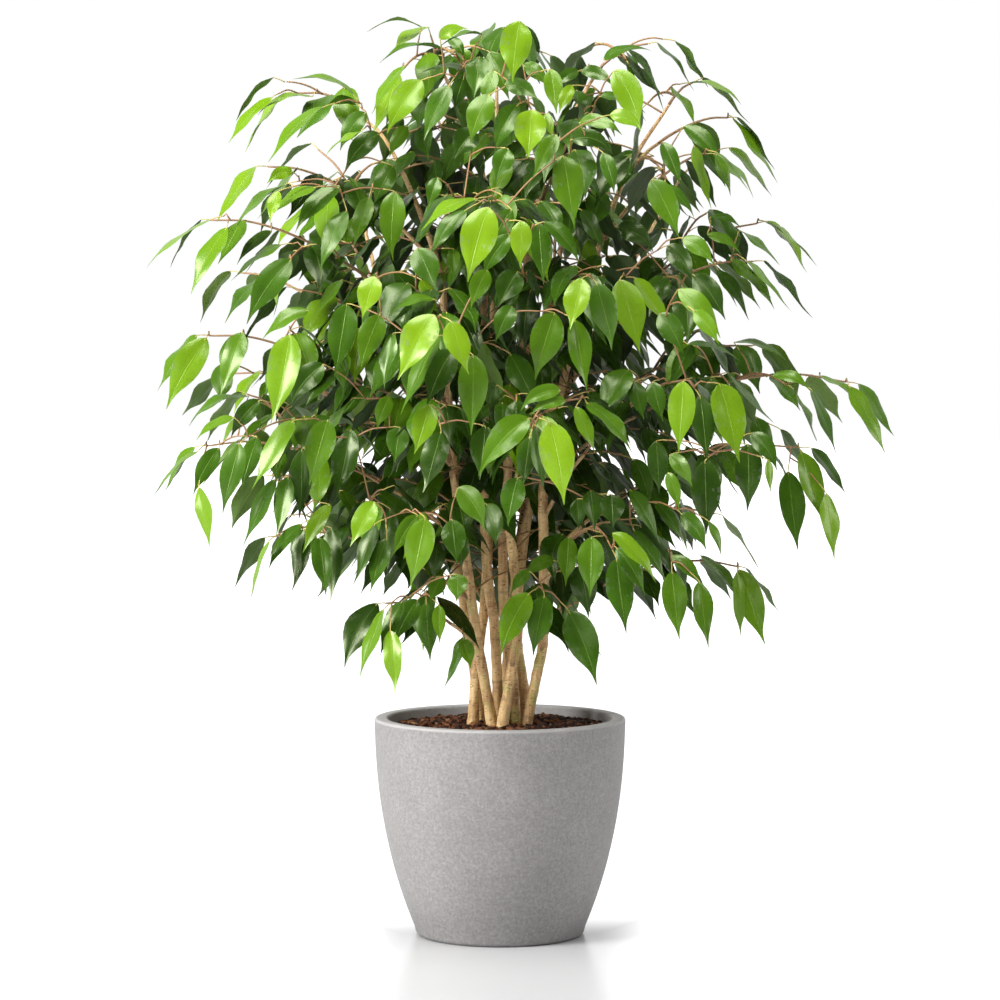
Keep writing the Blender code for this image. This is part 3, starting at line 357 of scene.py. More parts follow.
# Light: of the white world, then the lamps as place, target, size and watts
AMBIENT = 0.12
BACK_LIGHT = 1.0
LAMPS = {
    "key_softbox": ((-2.9, -1.7, 1.9), (0, 0, 0.5), (1.4, 1.6), 225),
    "fill_softbox": ((3.0, -0.9, 1.8), (0, 0, 0.6), (1.2, 1.8), 44),
    "front_softbox": ((-0.9, -3.6, 0.9), (0, 0, 0.5), (0.9, 0.9), 7),
    "top_softbox": ((-0.4, -1.2, 3.0), (0, 0, 0.85), (1.6, 1.3), 105),
}
LENS = 121  # mm, on a sensor 36 mm wide
AIM = Vector((0, 0, 0.5194))

# Colours of a leaf's upper face, from the oldest to the youngest, picked by a tone that also
# carries painted light and shade
LEAF_RAMP = (
    (0.0, (0.012, 0.034, 0.003)), (0.25, (0.046, 0.124, 0.005)), (0.5, (0.098, 0.212, 0.006)),
    (0.75, (0.142, 0.276, 0.006)), (1.0, (0.185, 0.330, 0.007)),
)
LEAF_THROUGH = (0.8, 1.0, 0.10)  # tint of the light that comes through a leaf
LEAF_THROUGH_SHARE = 0.28
RIB_PALE = (0.42, 0.54, 0.14)


def seen_at(x, y, z):
    """The point at depth y that the eye sees at (x, z) on the plane through the pot's axis."""
    spread = 1 + y * CM / EYE_DISTANCE
    return Vector((x * CM * spread, y * CM, EYE_HEIGHT + (z * CM - EYE_HEIGHT) * spread))


def stem_path(name):
    """The stem's centre line, with a straight foot down in the soil."""
    points = [seen_at(*point) for point in STEMS[name]]
    lean = (points[0] - points[1]) / (points[1].z - points[0].z)
    return [points[0] + lean * (points[0].z - STEM_BOTTOM)] + points[1:]


def lengths_along(path):
    """The distance of each point of the path from its start."""
    found = [0.0]
    for a, b in zip(path, path[1:]):
        found.append(found[-1] + (b - a).length)
    return found


def point_along(path, distance):
    """The point at that distance along the path, and the direction there."""
    for a, b in zip(path, path[1:]):
        step = (b - a).length
        if distance <= step or b is path[-1]:
            return a.lerp(b, distance / step), (b - a).normalized()
        distance -= step


def wall_faces(rings, sides):
    """The faces between rings of points that follow each other."""
    return [
        (i * sides + j, i * sides + (j + 1) % sides, (i + 1) * sides + (j + 1) % sides,
         (i + 1) * sides + j)
        for i in range(rings - 1) for j in range(sides)
    ]


def end_faces(rings, sides):
    """The faces that close the first and the last ring."""
    return [tuple(range(sides))[::-1], tuple((rings - 1) * sides + j for j in range(sides))]


def off_line(x, z, x0, z0, x1, z1):
    """How far (x, z) lies from the straight run between two points of the same plane."""
    dx, dz = x1 - x0, z1 - z0
    t = min(1, max(0, ((x - x0) * dx + (z - z0) * dz) / (dx * dx + dz * dz)))
    return math.hypot(x - x0 - t * dx, z - z0 - t * dz)


def hump(distance, width):
    """A smooth hump, 1 at no distance and close to 0 beyond twice its width."""
    return math.exp(-((distance / width) ** 2))


def stem_radii(path):
    """The stem's radius at each point: nearly even low down, thin at the top."""
    along = lengths_along(path)
    return [
        STEM_TIP_RADIUS + (STEM_RADIUS - STEM_TIP_RADIUS) * (1 - (s / along[-1]) ** STEM_TAPER)
        for s in along
    ]


def point_at_height(path, height):
    """The point where the path first passes that height."""
    for a, b in zip(path, path[1:]):
        if a.z <= height <= b.z:
            return a.lerp(b, (height - a.z) / (b.z - a.z))
    return path[-1].copy()


def arched(start, tip, swing, steps):
    """A branch from start to tip that rises above its chord, with the rise swung about the chord."""
    chord = tip - start
    side = chord.cross(UP).normalized()
    lift = (UP * math.cos(swing) + side * math.sin(swing)) * (ARCH * chord.length)
    second = start + chord * 0.30 + lift
    third = start + chord * 0.74 + lift
    points = []
    for i in range(steps + 1):
        t = i / steps
        u = 1 - t
        points.append(
            start * u**3 + second * (3 * u * u * t) + third * (3 * u * t * t) + tip * t**3
        )
    return points


def split(path, steps):
    """The path's first steps and the rest, cut in the middle of a straight run, a gap apart."""
    whole = int(steps)
    a, b = path[whole], path[whole + 1]
    cut = a.lerp(b, steps - whole)
    return path[: whole + 1] + [cut], [cut + (b - a).normalized() * GAP] + path[whole + 1 :]


def gap_between(a, b, c, d):
    """The shortest distance between the straight runs a-b and c-d."""
    u, v, w = b - a, d - c, a - c
    uu, uv, vv, uw, vw = u.dot(u), u.dot(v), v.dot(v), u.dot(w), v.dot(w)
    spread = uu * vv - uv * uv
    s = min(1, max(0, (uv * vw - vv * uw) / spread)) if spread > 1e-12 else 0
    t = min(1, max(0, (uv * s + vw) / vv))
    s = min(1, max(0, (uv * t - uw) / uu))
    return (a + u * s - c - v * t).length


def is_clear(path, radius, node, placed):
    """Whether the path keeps its clearance from everything placed that belongs to other nodes."""
    for other, points, other_radius in placed:
        if other == node:
            continue
        near = radius + other_radius + CLEARANCE
        for a, b in zip(path, path[1:]):
            for c, d in zip(points, points[1:]):
                if gap_between(a, b, c, d) < near:
                    return False
    return True


def forks_of(shoot, tips, node, placed):
    """The side twigs of a shoot, each leaving it further out, clear of other nodes."""
    length = lengths_along(shoot)[-1]
    forks = []
    for tip, share in zip(tips, FORK_STARTS):
        root, _ = point_along(shoot, length * share)
        for swing in SWINGS:
            fork = arched(root, seen_at(*tip), math.radians(swing), FORK_STEPS)
            if is_clear(fork[1:], TWIG_TIP_RADIUS, node, placed):
                forks.append(fork)
                break
    return forks


def skeleton():
    """Stem paths, and for each shoot its limb, its main twig and its forks, all clear of each other."""
    stems = {name: stem_path(name) for name in STEMS}
    placed = [(name, path, STEM_RADIUS) for name, path in stems.items()]
    limbs = {name: [] for name in STEMS}
    shoots = {}
    for name, tips in TOPS.items():
        path = stems[name]
        along = (path[-1] - path[-2]).normalized()
        root = path[-1] + along * GAP
        main = [root, root + along * (8 * MM)]
        main += arched(main[1], seen_at(*tips[0]), 0, MAIN_STEPS - 3)[1:]
        node = "shoot_top_" + name.removeprefix("stem_")
        placed.append((node, main[1:], SHOOT_RADIUS))
        shoots[node] = [main] + forks_of(main, tips[1:], node, placed)
        placed += [(node, fork, TWIG_TIP_RADIUS) for fork in shoots[node][1:]]
    for name, (stem, height, tips) in BRANCHES.items():
        node = "shoot_" + name
        found = None
        for shift in START_SHIFTS:
            start = point_at_height(stems[stem], seen_at(0, 0, height + shift).z)
            for swing in SWINGS:
                path = arched(start, seen_at(*tips[0]), math.radians(swing), MAIN_STEPS)
                limb, main = split(path, LIMB_STEPS)
                if is_clear(limb, LIMB_RADIUS, stem, placed) and is_clear(
                    main[1:], SHOOT_RADIUS, node, placed
                ):
                    found = (limb, main)
                    break
            if found:
                break
        if not found:
            continue
        limb, main = found
        limbs[stem].append(limb)
        placed.append((stem, limb, LIMB_RADIUS))
        placed.append((node, main, SHOOT_RADIUS))
        shoots[node] = [main] + forks_of(main, tips[1:], node, placed)
        placed += [(node, fork, TWIG_TIP_RADIUS) for fork in shoots[node][1:]]
    return stems, limbs, shoots


def side_of(number):
    """A leaf's side, counted from its twig's end: 0 for the end leaf, then left and right."""
    return 0 if number == 0 else (-1 if number % 2 else 1)


def leaf_seats(twigs):
    """Where the leaves of one shoot grow: (point, direction, side, key). The end leaf has side 0."""
    for t, twig in enumerate(twigs):
        length = lengths_along(twig)[-1]
        count = int((length - 12 * MM) / LEAF_SPACING)
        for i in range(count + 1):
            point, along = point_along(twig, length - i * LEAF_SPACING)
            yield point, along, side_of(i), f"{t}.{i}"


class Leaf:
    """One leaf's stalk and blade as points: the stalk leaves the twig, and the blade hangs from it."""

    def __init__(self, point, along, side, key, turn=0.0):
        draw = random.Random(key)
        across = along.cross(UP).normalized() * side
        level = Vector((along.x, along.y, 0)).normalized()
        outward = Vector((point.x, point.y, 0)).normalized()
        noise = Vector([draw.uniform(-1, 1) for _ in range(3)])
        self.length = draw.uniform(*LEAF_LENGTH)
        self.half_width = self.length * draw.uniform(*LEAF_WIDTH) / 2
        stalk = along * 0.55 + across * 0.8 + UP * 0.2 + noise * 0.15 if side else along
        spin = Matrix.Rotation(turn, 3, "Z")
        self.stalk = (spin @ stalk).normalized() if side else along
        self.root = point if side else point - along * (2 * MM)
        self.base = point + self.stalk * draw.uniform(*PETIOLE_LENGTH)
        first = self.stalk * 0.55 + UP * -0.55
        last = UP * -1 + level * 0.30 + across * 0.20 + outward * 0.15 + noise * 0.22
        self.first = first.normalized()
        self.last = (spin @ last).normalized()
        facing = across * 0.7 + outward * 0.6 + UP * 0.4 + noise * 0.45
        self.facing = spin @ facing

    def midrib(self, share):
        """The midrib's point, direction and upward normal at that share of the blade's length."""
        steps = 8
        point = self.base.copy()
        for i in range(steps):
            middle = share * (i + 0.5) / steps
            point += self.first.lerp(self.last, middle).normalized() * (self.length * share / steps)
        direction = self.first.lerp(self.last, share).normalized()
        normal = (self.facing - direction * self.facing.dot(direction)).normalized()
        return point, direction, normal

    def shrink(self, share):
        """Scales the blade about its base."""
        self.length *= share
        self.half_width *= share

    def edge(self, share, width, side):
        """A point on the blade's edge, with the edge folded up from the midrib."""
        point, direction, normal = self.midrib(share)
        half = self.half_width * width
        return point + direction.cross(normal) * (half * side) + normal * (half * BLADE_FOLD)


# Full detail of a leaf
BLADE_ROWS = (
    (0.0, 0.06), (0.03, 0.30), (0.08, 0.56), (0.15, 0.79), (0.24, 0.94), (0.34, 1.0),
    (0.45, 0.98), (0.56, 0.86), (0.66, 0.65), (0.74, 0.43), (0.81, 0.25), (0.88, 0.13),
    (0.94, 0.07), (1.0, 0.02),
)  # share of length, share of half width
BLADE_COLUMNS = (-1.0, -0.68, -0.3, 0.0, 0.3, 0.68, 1.0)
BLADE_CURL = 0.17  # how far the edges turn back down, as a share of half width
LEAF_SKIN = 0.35 * MM
RIB_DEPTH = 0.9 * MM
PETIOLE_SIDES = 5

# Side twigs that fill the crown
TWIGLET_TRIES = 4
TWIGLET_SPACING = 34 * MM
TWIGLET_LENGTH = (45 * MM, 90 * MM)
TWIGLET_LEAF_SPACING = 23 * MM
TWIGLET_RADIUS = 1.2 * MM  # of the room kept for one
CORE_SPACING = 34 * MM
CORE_HEIGHT = 0.60
BACK_HEIGHT = 0.40  # from here up, such twigs grow backwards
LOWEST_TIP = 0.285
MORE_TURNS = (0, 20, -20, 40, -40, 65, -65, 95, -95, 130, -130)

CROWD_ROOM = 8000  # surfaces that the crown can hold
STEM_ROOM = 4 * MM  # radius kept free round stems and limbs
TWIG_STEP = 8 * MM  # between the rings of a twig

TOP, UNDER, TWIG = range(3)  # material slots of the leafy pieces


def smooth(path, step):
    """Points on a smooth curve through the path's points."""
    if len(path) < 3:
        return [point.copy() for point in path]
    ends = [path[0] * 2 - path[1]] + list(path) + [path[-1] * 2 - path[-2]]
    found = []
    for a, b, c, d in zip(ends, ends[1:], ends[2:], ends[3:]):
        count = max(1, round((c - b).length / step))
        for i in range(count):
            t = i / count
            found.append(
                0.5 * (
                    b * 2 + (c - a) * t + (a * 2 - b * 5 + c * 4 - d) * t**2
                    + (b * 3 - a - c * 3 + d) * t**3
                )
            )
    found.append(path[-1].copy())
    return found


def tube_rings(path, radii, sides, wobble=0.0, seed=0.0):
    """Rings of points along a path, as an array: rings, sides, coordinates."""
    rings = []
    across = None
    for i, point in enumerate(path):
        along = (path[min(i + 1, len(path) - 1)] - path[max(i - 1, 0)]).normalized()
        if across is None:
            across = along.orthogonal().normalized()
        across = (across - along * across.dot(along)).normalized()
        other = along.cross(across)
        ring = []
        for j in range(sides):
            turn = math.tau * j / sides
            side = across * math.cos(turn) + other * math.sin(turn)
            radius = radii[i]
            if wobble:
                radius *= 1 + wobble * noise(point * 90 + side * 1.3 + Vector((seed, 0, 0)))
            ring.append(point + side * radius)
        rings.append(ring)
    return np.array(rings)


class Growth:
    """The points and faces of one piece, with a texture place and a tone for each point."""

    def __init__(self):
        self.points, self.faces, self.slots, self.places, self.tones = [], [], [], [], []
        self.rims = []
        self.count = 0

    def add(self, points, faces, slots, places, tone, rim=None):
        """Adds points and faces. Edges between two points of the rim are sharp."""
        points = np.asarray(points, dtype=np.float64).reshape(-1, 3)
        self.points.append(points)
        self.faces += [tuple(self.count + i for i in face) for face in faces]
        self.slots += slots
        self.places.append(np.asarray(places, dtype=np.float64).reshape(-1, 2))
        self.tones.append(np.broadcast_to(np.asarray(tone, dtype=np.float64), (len(points), 4)))
        self.rims.append(np.zeros(len(points), dtype=bool) if rim is None else rim)
        self.count += len(points)

    def tube(self, path, radii, sides, tone, wobble=0.0, seed=0.0, slot=TWIG):
        """Adds a closed tube along the path, in one tone or with a list of one for each ring."""
        rings = tube_rings(path, radii, sides, wobble, seed)
        count = len(path)
        faces = wall_faces(count, sides) + end_faces(count, sides)
        along = lengths_along(path)
        places = [(j / sides, s / (10 * CM)) for s in along for j in range(sides)]
        if isinstance(tone, list):
            tone = np.repeat(np.array(tone), sides, axis=0)
        self.add(rings, faces, [slot] * len(faces), places, tone)

    def leaf(self, leaf, draw, tone):
        """Adds a leaf: its upper face, its underside with the midrib, and its stalk."""
        grid, normals = blade_grid(leaf, draw)
        rows, columns = grid.shape[:2]
        depth = np.array([RIB_DEPTH if c == 0 else LEAF_SKIN for c in BLADE_COLUMNS[1:-1]])
        fade = np.array([min(1.0, 6 * width) for _, width in BLADE_ROWS])
        under = grid[:, 1:-1] - normals[:, None] * (depth[None, :] * fade[:, None])[..., None]
        top_index = np.arange(rows * columns).reshape(rows, columns)
        under_index = top_index.copy()
        under_index[:, 1:-1] = rows * columns + np.arange(rows * (columns - 2)).reshape(rows, -1)
        faces = []
        for index, turned_over in ((top_index, False), (under_index, True)):
            for i in range(rows - 1):
                for j in range(columns - 1):
                    face = (index[i, j], index[i, j + 1], index[i + 1, j + 1], index[i + 1, j])
                    faces.append(face[::-1] if turned_over else face)
        for i in (0, rows - 1):
            rim = list(top_index[i]) + list(under_index[i, 1:-1][::-1])
            faces.append(tuple(rim if i else rim[::-1]))
        slots = [TOP] * ((rows - 1) * (columns - 1)) + [UNDER] * ((rows - 1) * (columns - 1) + 2)
        shares = np.array([share for share, _ in BLADE_ROWS])
        across = (np.array(BLADE_COLUMNS) + 1) / 2
        top_places = np.stack(np.broadcast_arrays(across[None, :], shares[:, None]), axis=-1)
        places = np.concatenate([top_places.reshape(-1, 2), top_places[:, 1:-1].reshape(-1, 2)])
        rim = np.zeros((rows, columns), dtype=bool)
        rim[:, [0, -1]] = True
        rim[[0, -1]] = True
        rim = np.concatenate([rim.ravel(), np.zeros(rows * (columns - 2), dtype=bool)])
        blade = np.concatenate([grid.reshape(-1, 3), under.reshape(-1, 3)])
        self.add(blade, faces, slots, places, tone, rim)
        middle = leaf.root.lerp(leaf.base, 0.55) + UP * (0.6 * MM)
        path = smooth([leaf.root, middle, leaf.base, leaf.midrib(0.04)[0]], 5 * MM)
        radii = taper(path, 0.75 * MM, 0.55 * MM)
        self.tube(path, radii, PETIOLE_SIDES, (tone[0], tone[1], 0.2, 1))

    def build(self, name, materials):
        """Makes the piece's object."""
        data = bpy.data.meshes.new(name)
        points = np.concatenate(self.points)
        data.from_pydata(points, [], self.faces)
        data.polygons.foreach_set("material_index", self.slots)
        corners = np.empty(len(data.loops), dtype=np.int32)
        data.loops.foreach_get("vertex_index", corners)
        layer = data.uv_layers.new(name="place")
        layer.data.foreach_set("uv", np.concatenate(self.places)[corners].ravel())
        tone = data.color_attributes.new(name="tone", type="FLOAT_COLOR", domain="POINT")
        tone.data.foreach_set("color", np.concatenate(self.tones).ravel())
        data.polygons.foreach_set("use_smooth", [True] * len(data.polygons))
        for material in materials:
            data.materials.append(material)
        ends = np.empty(len(data.edges) * 2, dtype=np.int32)
        data.edges.foreach_get("vertices", ends)
        rims = np.concatenate(self.rims)[ends].reshape(-1, 2).all(axis=1)
        sharp = data.attributes.new("sharp_edge", "BOOLEAN", "EDGE")
        sharp.data.foreach_set("value", rims)
        data.update()
        made = bpy.data.objects.new(name, data)
        bpy.context.scene.collection.objects.link(made)
        return made


def unit(vectors):
    """The vectors at length 1."""
    return vectors / np.linalg.norm(vectors, axis=-1, keepdims=True)


def blade_grid(leaf, draw):
    """The blade's upper surface as a grid of points, row by row, and each row's normal."""
    first, last, facing = (np.array(v) for v in (leaf.first, leaf.last, leaf.facing))
    shares = np.array([share for share, _ in BLADE_ROWS])
    widths = np.array([width for _, width in BLADE_ROWS]) * leaf.half_width
    steps = (np.arange(8) + 0.5) / 8
    inner = unit(first + (last - first) * (shares[:, None] * steps)[..., None])
    middle = np.array(leaf.base) + inner.sum(axis=1) * (leaf.length * shares / 8)[:, None]
    direction = unit(first + (last - first) * shares[:, None])
    normal = unit(facing - direction * (direction @ facing)[:, None])
    flank = np.cross(direction, normal)
    twist = draw.uniform(-0.35, 0.35) * shares
    normal, flank = (
        normal * np.cos(twist)[:, None] + flank * np.sin(twist)[:, None],
        flank * np.cos(twist)[:, None] - normal * np.sin(twist)[:, None],
    )
    bend = draw.uniform(-0.05, 0.05) * leaf.length
    hook = draw.uniform(-0.05, 0.05) * leaf.length
    middle = middle + flank * (bend * shares**2)[:, None]
    middle = middle + flank * (hook * np.maximum(0, shares - 0.75) ** 1.5 * 4)[:, None]
    swell = draw.uniform(0.006, 0.024) * leaf.length
    start = draw.uniform(0, 6)
    middle = middle + normal * (swell * np.sin(shares * math.tau * 1.1 + start) * shares)[:, None]
    flick = draw.uniform(0.01, 0.10) * leaf.length
    middle = middle + normal * (flick * (np.maximum(0, shares - 0.4) / 0.6) ** 2)[:, None]
    across = np.array(BLADE_COLUMNS)
    fold = BLADE_FOLD * draw.uniform(0.9, 2.3)
    rise = fold * np.abs(across) - BLADE_CURL * across**2
    waves = draw.uniform(0.07, 0.20)
    phases = (draw.uniform(0, math.tau), draw.uniform(0, math.tau))
    ripple = np.zeros((len(shares), len(across)))
    for column, value in enumerate(BLADE_COLUMNS):
        phase = phases[0] if value < 0 else phases[1]
        ripple[:, column] = waves * abs(value)**1.5 * np.sin(shares * math.tau * 1.7 + phase)
    offset = widths[:, None] * (rise[None, :] + ripple)
    grid = (
        middle[:, None] + flank[:, None] * (widths[:, None] * across[None, :])[..., None]
        + normal[:, None] * offset[..., None]
    )
    return grid, normal


def taper(path, first, last):
    """Radii that fall evenly from the path's start to its end."""
    along = lengths_along(path)
    return [first + (last - first) * s / along[-1] for s in along]


class Crowd:
    """The surfaces placed so far, for finding what a new one would cut through."""

    def __init__(self):
        self.low = np.zeros((CROWD_ROOM, 3))
        self.high = np.zeros((CROWD_ROOM, 3))
        self.trees = []

    def add(self, shape):
        """Notes the surface and its box."""
        points, tree = shape
        self.low[len(self.trees)] = points.min(axis=0)
        self.high[len(self.trees)] = points.max(axis=0)
        self.trees.append(tree)

    def meets(self, shape):
        """Whether the surface cuts one that is there. Only those whose boxes meet are compared."""
        points, tree = shape
        low, high = points.min(axis=0), points.max(axis=0)
        count = len(self.trees)
        near = np.all(self.low[:count] <= high, axis=1) & np.all(self.high[:count] >= low, axis=1)
        return any(self.trees[i].overlap(tree) for i in np.flatnonzero(near))


def leaf_shape(leaf):
    """The leaf's blade in a few facets."""
    ribs = [leaf.midrib(share)[0] for share in (0.0, 0.30, 0.66, 1.0)]
    points = ribs + [leaf.edge(s, w, side) for side in (-1, 1) for s, w in EDGE_STATIONS]
    faces = []
    for i in (4, 7):
        faces += [(0, i, 1), (i, i + 1, 1), (1, i + 1, 2), (i + 1, i + 2, 2), (2, i + 2, 3)]
    return np.array(points), BVHTree.FromPolygons(points, faces)


def branch_shape(path, radius):
    """The branch as a three-sided tube."""
    rings = tube_rings(path, [radius] * len(path), 3)
    points = [Vector(point) for point in rings.reshape(-1, 3)]
    return np.array(points), BVHTree.FromPolygons(points, wall_faces(len(path), 3))


def solid_leaf(node, point, along, side, key, corners):
    """The leaf that the node's solid has at this seat, or None where it has none."""
    for turn in LEAF_TURNS:
        leaf = Leaf(point, along, side, f"{node}.{key}", math.radians(turn))
        if corners.find(leaf.midrib(1)[0])[2] < 0.2 * MM:
            return leaf
    return None


def solid_corners(node):
    """The corners of the node's solid, for finding one near a point."""
    data = bpy.data.objects[node].data
    tree = KDTree(len(data.vertices))
    for i, corner in enumerate(data.vertices):
        tree.insert(corner.co, i)
    tree.balance()
    return tree


def in_crown(leaf):
    """Whether the blade's tip stays in the space that the solids fill."""
    tip = leaf.midrib(1)[0]
    low, high = CAD_BOX
    inside = all(low[i] <= tip[i] <= high[i] for i in range(3))
    return inside and tip.z > LOWEST_TIP


class Node:
    """A short way to write material nodes."""

    def __init__(self, name):
        self.material = bpy.data.materials.new(name)
        self.material.use_nodes = True
        self.tree = self.material.node_tree
        self.shader = self.tree.nodes["Principled BSDF"]
        self.output = self.tree.nodes["Material Output"]

    def link(self, source, target):
        self.tree.links.new(source, target)

    def make(self, kind, values=None, **settings):
        made = self.tree.nodes.new(kind)
        for key, value in settings.items():
            setattr(made, key, value)
        for key, value in (values or {}).items():
            if isinstance(value, bpy.types.NodeSocket):
                self.link(value, made.inputs[key])
            else:
                made.inputs[key].default_value = value
        return made

    def math(self, operation, a, b=0.0, c=0.0):
        return self.make("ShaderNodeMath", {0: a, 1: b, 2: c}, operation=operation).outputs[0]

    def times(self, a, b):
        return self.math("MULTIPLY", a, b)

    def plus(self, a, b):
        return self.math("ADD", a, b)

    def ease(self, value, low, high):
        """0 below low, 1 above high, smooth between."""
        return self.make(
            "ShaderNodeMapRange", {"Value": value, "From Min": low, "From Max": high},
            interpolation_type="SMOOTHSTEP",
        ).outputs["Result"]

    def fade(self, value, low, high):
        """1 below low, 0 above high, smooth between."""
        return self.math("SUBTRACT", 1.0, self.ease(value, low, high))

    def span(self, value, low, high):
        """A value from 0 to 1, spread from low to high."""
        settings = {"Value": value, "To Min": low, "To Max": high}
        return self.make("ShaderNodeMapRange", settings).outputs["Result"]

    def mix(self, factor, a, b, blend="MIX"):
        made = self.make("ShaderNodeMix", data_type="RGBA", blend_type=blend)
        sockets = [made.inputs[0], made.inputs[6], made.inputs[7]]
        for socket, value in zip(sockets, (factor, a, b)):
            if isinstance(value, bpy.types.NodeSocket):
                self.link(value, socket)
            else:
                socket.default_value = (*value, 1) if isinstance(value, tuple) else value
        return made.outputs[2]

    def noise(self, coordinates, scale, detail=3.0, roughness=0.5):
        return self.make(
            "ShaderNodeTexNoise",
            {"Vector": coordinates, "Scale": scale, "Detail": detail, "Roughness": roughness},
        ).outputs["Fac"]

    def ramp(self, factor, stops):
        made = self.make("ShaderNodeValToRGB", {"Fac": factor})
        elements = made.color_ramp.elements
        while len(elements) < len(stops):
            elements.new(0.5)
        for element, (place, colour) in zip(elements, stops):
            element.position = place
            element.color = (*colour, 1)
        return made.outputs["Color"]

    def bump(self, height, distance, strength=1.0):
        settings = {"Height": height, "Distance": distance, "Strength": strength}
        made = self.make("ShaderNodeBump", settings)
        self.link(made.outputs["Normal"], self.shader.inputs["Normal"])
        return made.outputs["Normal"]

    def place(self):
        """The position on the object, which doesn't slide when the object moves."""
        return self.make("ShaderNodeTexCoord").outputs["Object"]

    def axis(self, vector, name):
        return self.make("ShaderNodeSeparateXYZ", {"Vector": vector}).outputs[name]

    def stretched(self, vector, scale, rotation=(0, 0, 0)):
        settings = {"Vector": vector, "Rotation": rotation, "Scale": scale}
        return self.make("ShaderNodeMapping", settings).outputs[0]

    def tone(self, channel):
        """One channel of the tone that the mesh's points carry."""
        colour = self.make("ShaderNodeVertexColor", layer_name="tone").outputs["Color"]
        return self.make("ShaderNodeSeparateColor", {"Color": colour}).outputs[channel]


def leaf_material(name, ramp, roughness):
    """A leaf's face: tone from deep to young green, with the painted light and shade that the tone
    carries, a paler midrib and edge, faint side veins.
    """
    m = Node(name)
    place = m.make("ShaderNodeUVMap", uv_map="place").outputs["UV"]
    across = m.math("ABSOLUTE", m.math("MULTIPLY_ADD", m.axis(place, "X"), 2.0, -1.0))
    along = m.axis(place, "Y")
    rib_width = m.math("MULTIPLY_ADD", along, 0.02, 0.022)
    rib = m.fade(m.math("DIVIDE", across, rib_width), 0.4, 1.4)
    phase = m.math("SUBTRACT", m.times(along, 17.0), m.times(across, 2.6))
    vein = m.times(m.fade(m.math("PINGPONG", phase, 0.5), 0.0, 0.12), m.fade(across, 0.7, 0.95))
    edge = m.ease(across, 0.93, 1.0)
    where = m.place()
    blotch = m.noise(where, 30.0, 2.0)
    shade = m.plus(m.tone("Red"), m.math("MULTIPLY_ADD", blotch, 0.24, -0.12))
    shade = m.plus(shade, m.times(m.math("SUBTRACT", 0.5, along), 0.06))
    colour = m.ramp(shade, ramp)
    paler = m.ramp(m.plus(shade, 0.30), ramp)
    colour = m.mix(m.times(vein, 0.10), colour, paler)
    colour = m.mix(m.times(edge, 0.45), colour, paler)
    colour = m.mix(m.times(rib, 0.6), colour, m.mix(0.2, paler, RIB_PALE))
    m.link(colour, m.shader.inputs["Base Color"])
    gloss = m.span(m.noise(where, 70.0, 2.0), roughness - 0.03, roughness + 0.05)
    m.link(gloss, m.shader.inputs["Roughness"])
    normal = m.bump(m.plus(m.times(rib, -0.8), m.times(vein, -0.05)), 0.5 * MM, 0.6)
    m.shader.inputs["Specular IOR Level"].default_value = 0.6
    m.shader.inputs["Specular Tint"].default_value = (0.92, 1.0, 0.66, 1)
    tint = m.mix(0.6, colour, LEAF_THROUGH, "MULTIPLY")
    through = m.make("ShaderNodeBsdfTranslucent", {"Color": tint, "Normal": normal})
    shaders = {0: LEAF_THROUGH_SHARE, 1: m.shader.outputs[0], 2: through.outputs[0]}
    m.link(m.make("ShaderNodeMixShader", shaders).outputs[0], m.output.inputs["Surface"])
    return m.material


def twig_material():
    """Young twigs and leaf stalks: red-brown wood that turns green towards the leaves."""
    m = Node("twig_bark")
    where = m.place()
    grain = m.noise(where, 160.0, 3.0)
    shade = m.plus(m.tone("Blue"), m.math("MULTIPLY_ADD", grain, 0.3, -0.15))
    colour = m.ramp(shade, (
        (0.0, (0.38, 0.42, 0.07)), (0.25, (0.40, 0.29, 0.08)), (0.6, (0.26, 0.135, 0.055)),
        (1.0, (0.25, 0.15, 0.07)),
    ))
    m.link(colour, m.shader.inputs["Base Color"])
    m.shader.inputs["Roughness"].default_value = 0.55
    m.bump(m.noise(where, 600.0, 2.0), 0.2 * MM, 0.5)
    return m.material


def bark_material():
    """Tan fig bark: fine upright grain, pale and dark lenticels, dark scars, greener low down."""
    m = Node("stem_bark")
    where = m.place()
    broad = m.noise(where, 26.0, 3.0, 0.6)
    fine = m.noise(where, 420.0, 4.0, 0.65)
    spots = m.noise(m.stretched(where, (1.0, 1.0, 3.2)), 210.0, 1.0, 0.4)
    pale = m.ease(spots, 0.63, 0.70)
    dark = m.fade(spots, 0.29, 0.36)
    streak = m.noise(m.stretched(where, (1.0, 1.0, 0.12)), 330.0, 3.0, 0.6)
    shade = m.math("MULTIPLY_ADD", broad, 0.6, m.times(streak, 0.4))
    colour = m.ramp(shade, (
        (0.30, (0.21, 0.105, 0.038)), (0.43, (0.48, 0.275, 0.110)), (0.56, (0.72, 0.48, 0.215)),
        (0.70, (0.86, 0.66, 0.34)),
    ))
    low = m.fade(m.axis(where, "Z"), 0.30, 0.52)
    green = m.times(low, m.ease(m.noise(where, 34.0, 2.0), 0.52, 0.62))
    colour = m.mix(m.times(green, 0.55), colour, (0.40, 0.40, 0.10))
    colour = m.mix(m.times(pale, 0.65), colour, (0.72, 0.58, 0.36))
    colour = m.mix(m.times(dark, 0.75), colour, (0.07, 0.035, 0.014))
    colour = m.mix(m.tone("Green"), colour, (0.075, 0.036, 0.014))
    m.link(colour, m.shader.inputs["Base Color"])
    m.shader.inputs["Roughness"].default_value = 0.62
    relief = m.plus(spots, m.plus(m.times(streak, 0.6), m.times(fine, 0.4)))
    m.bump(relief, 1.0 * MM, 0.8)
    return m.material


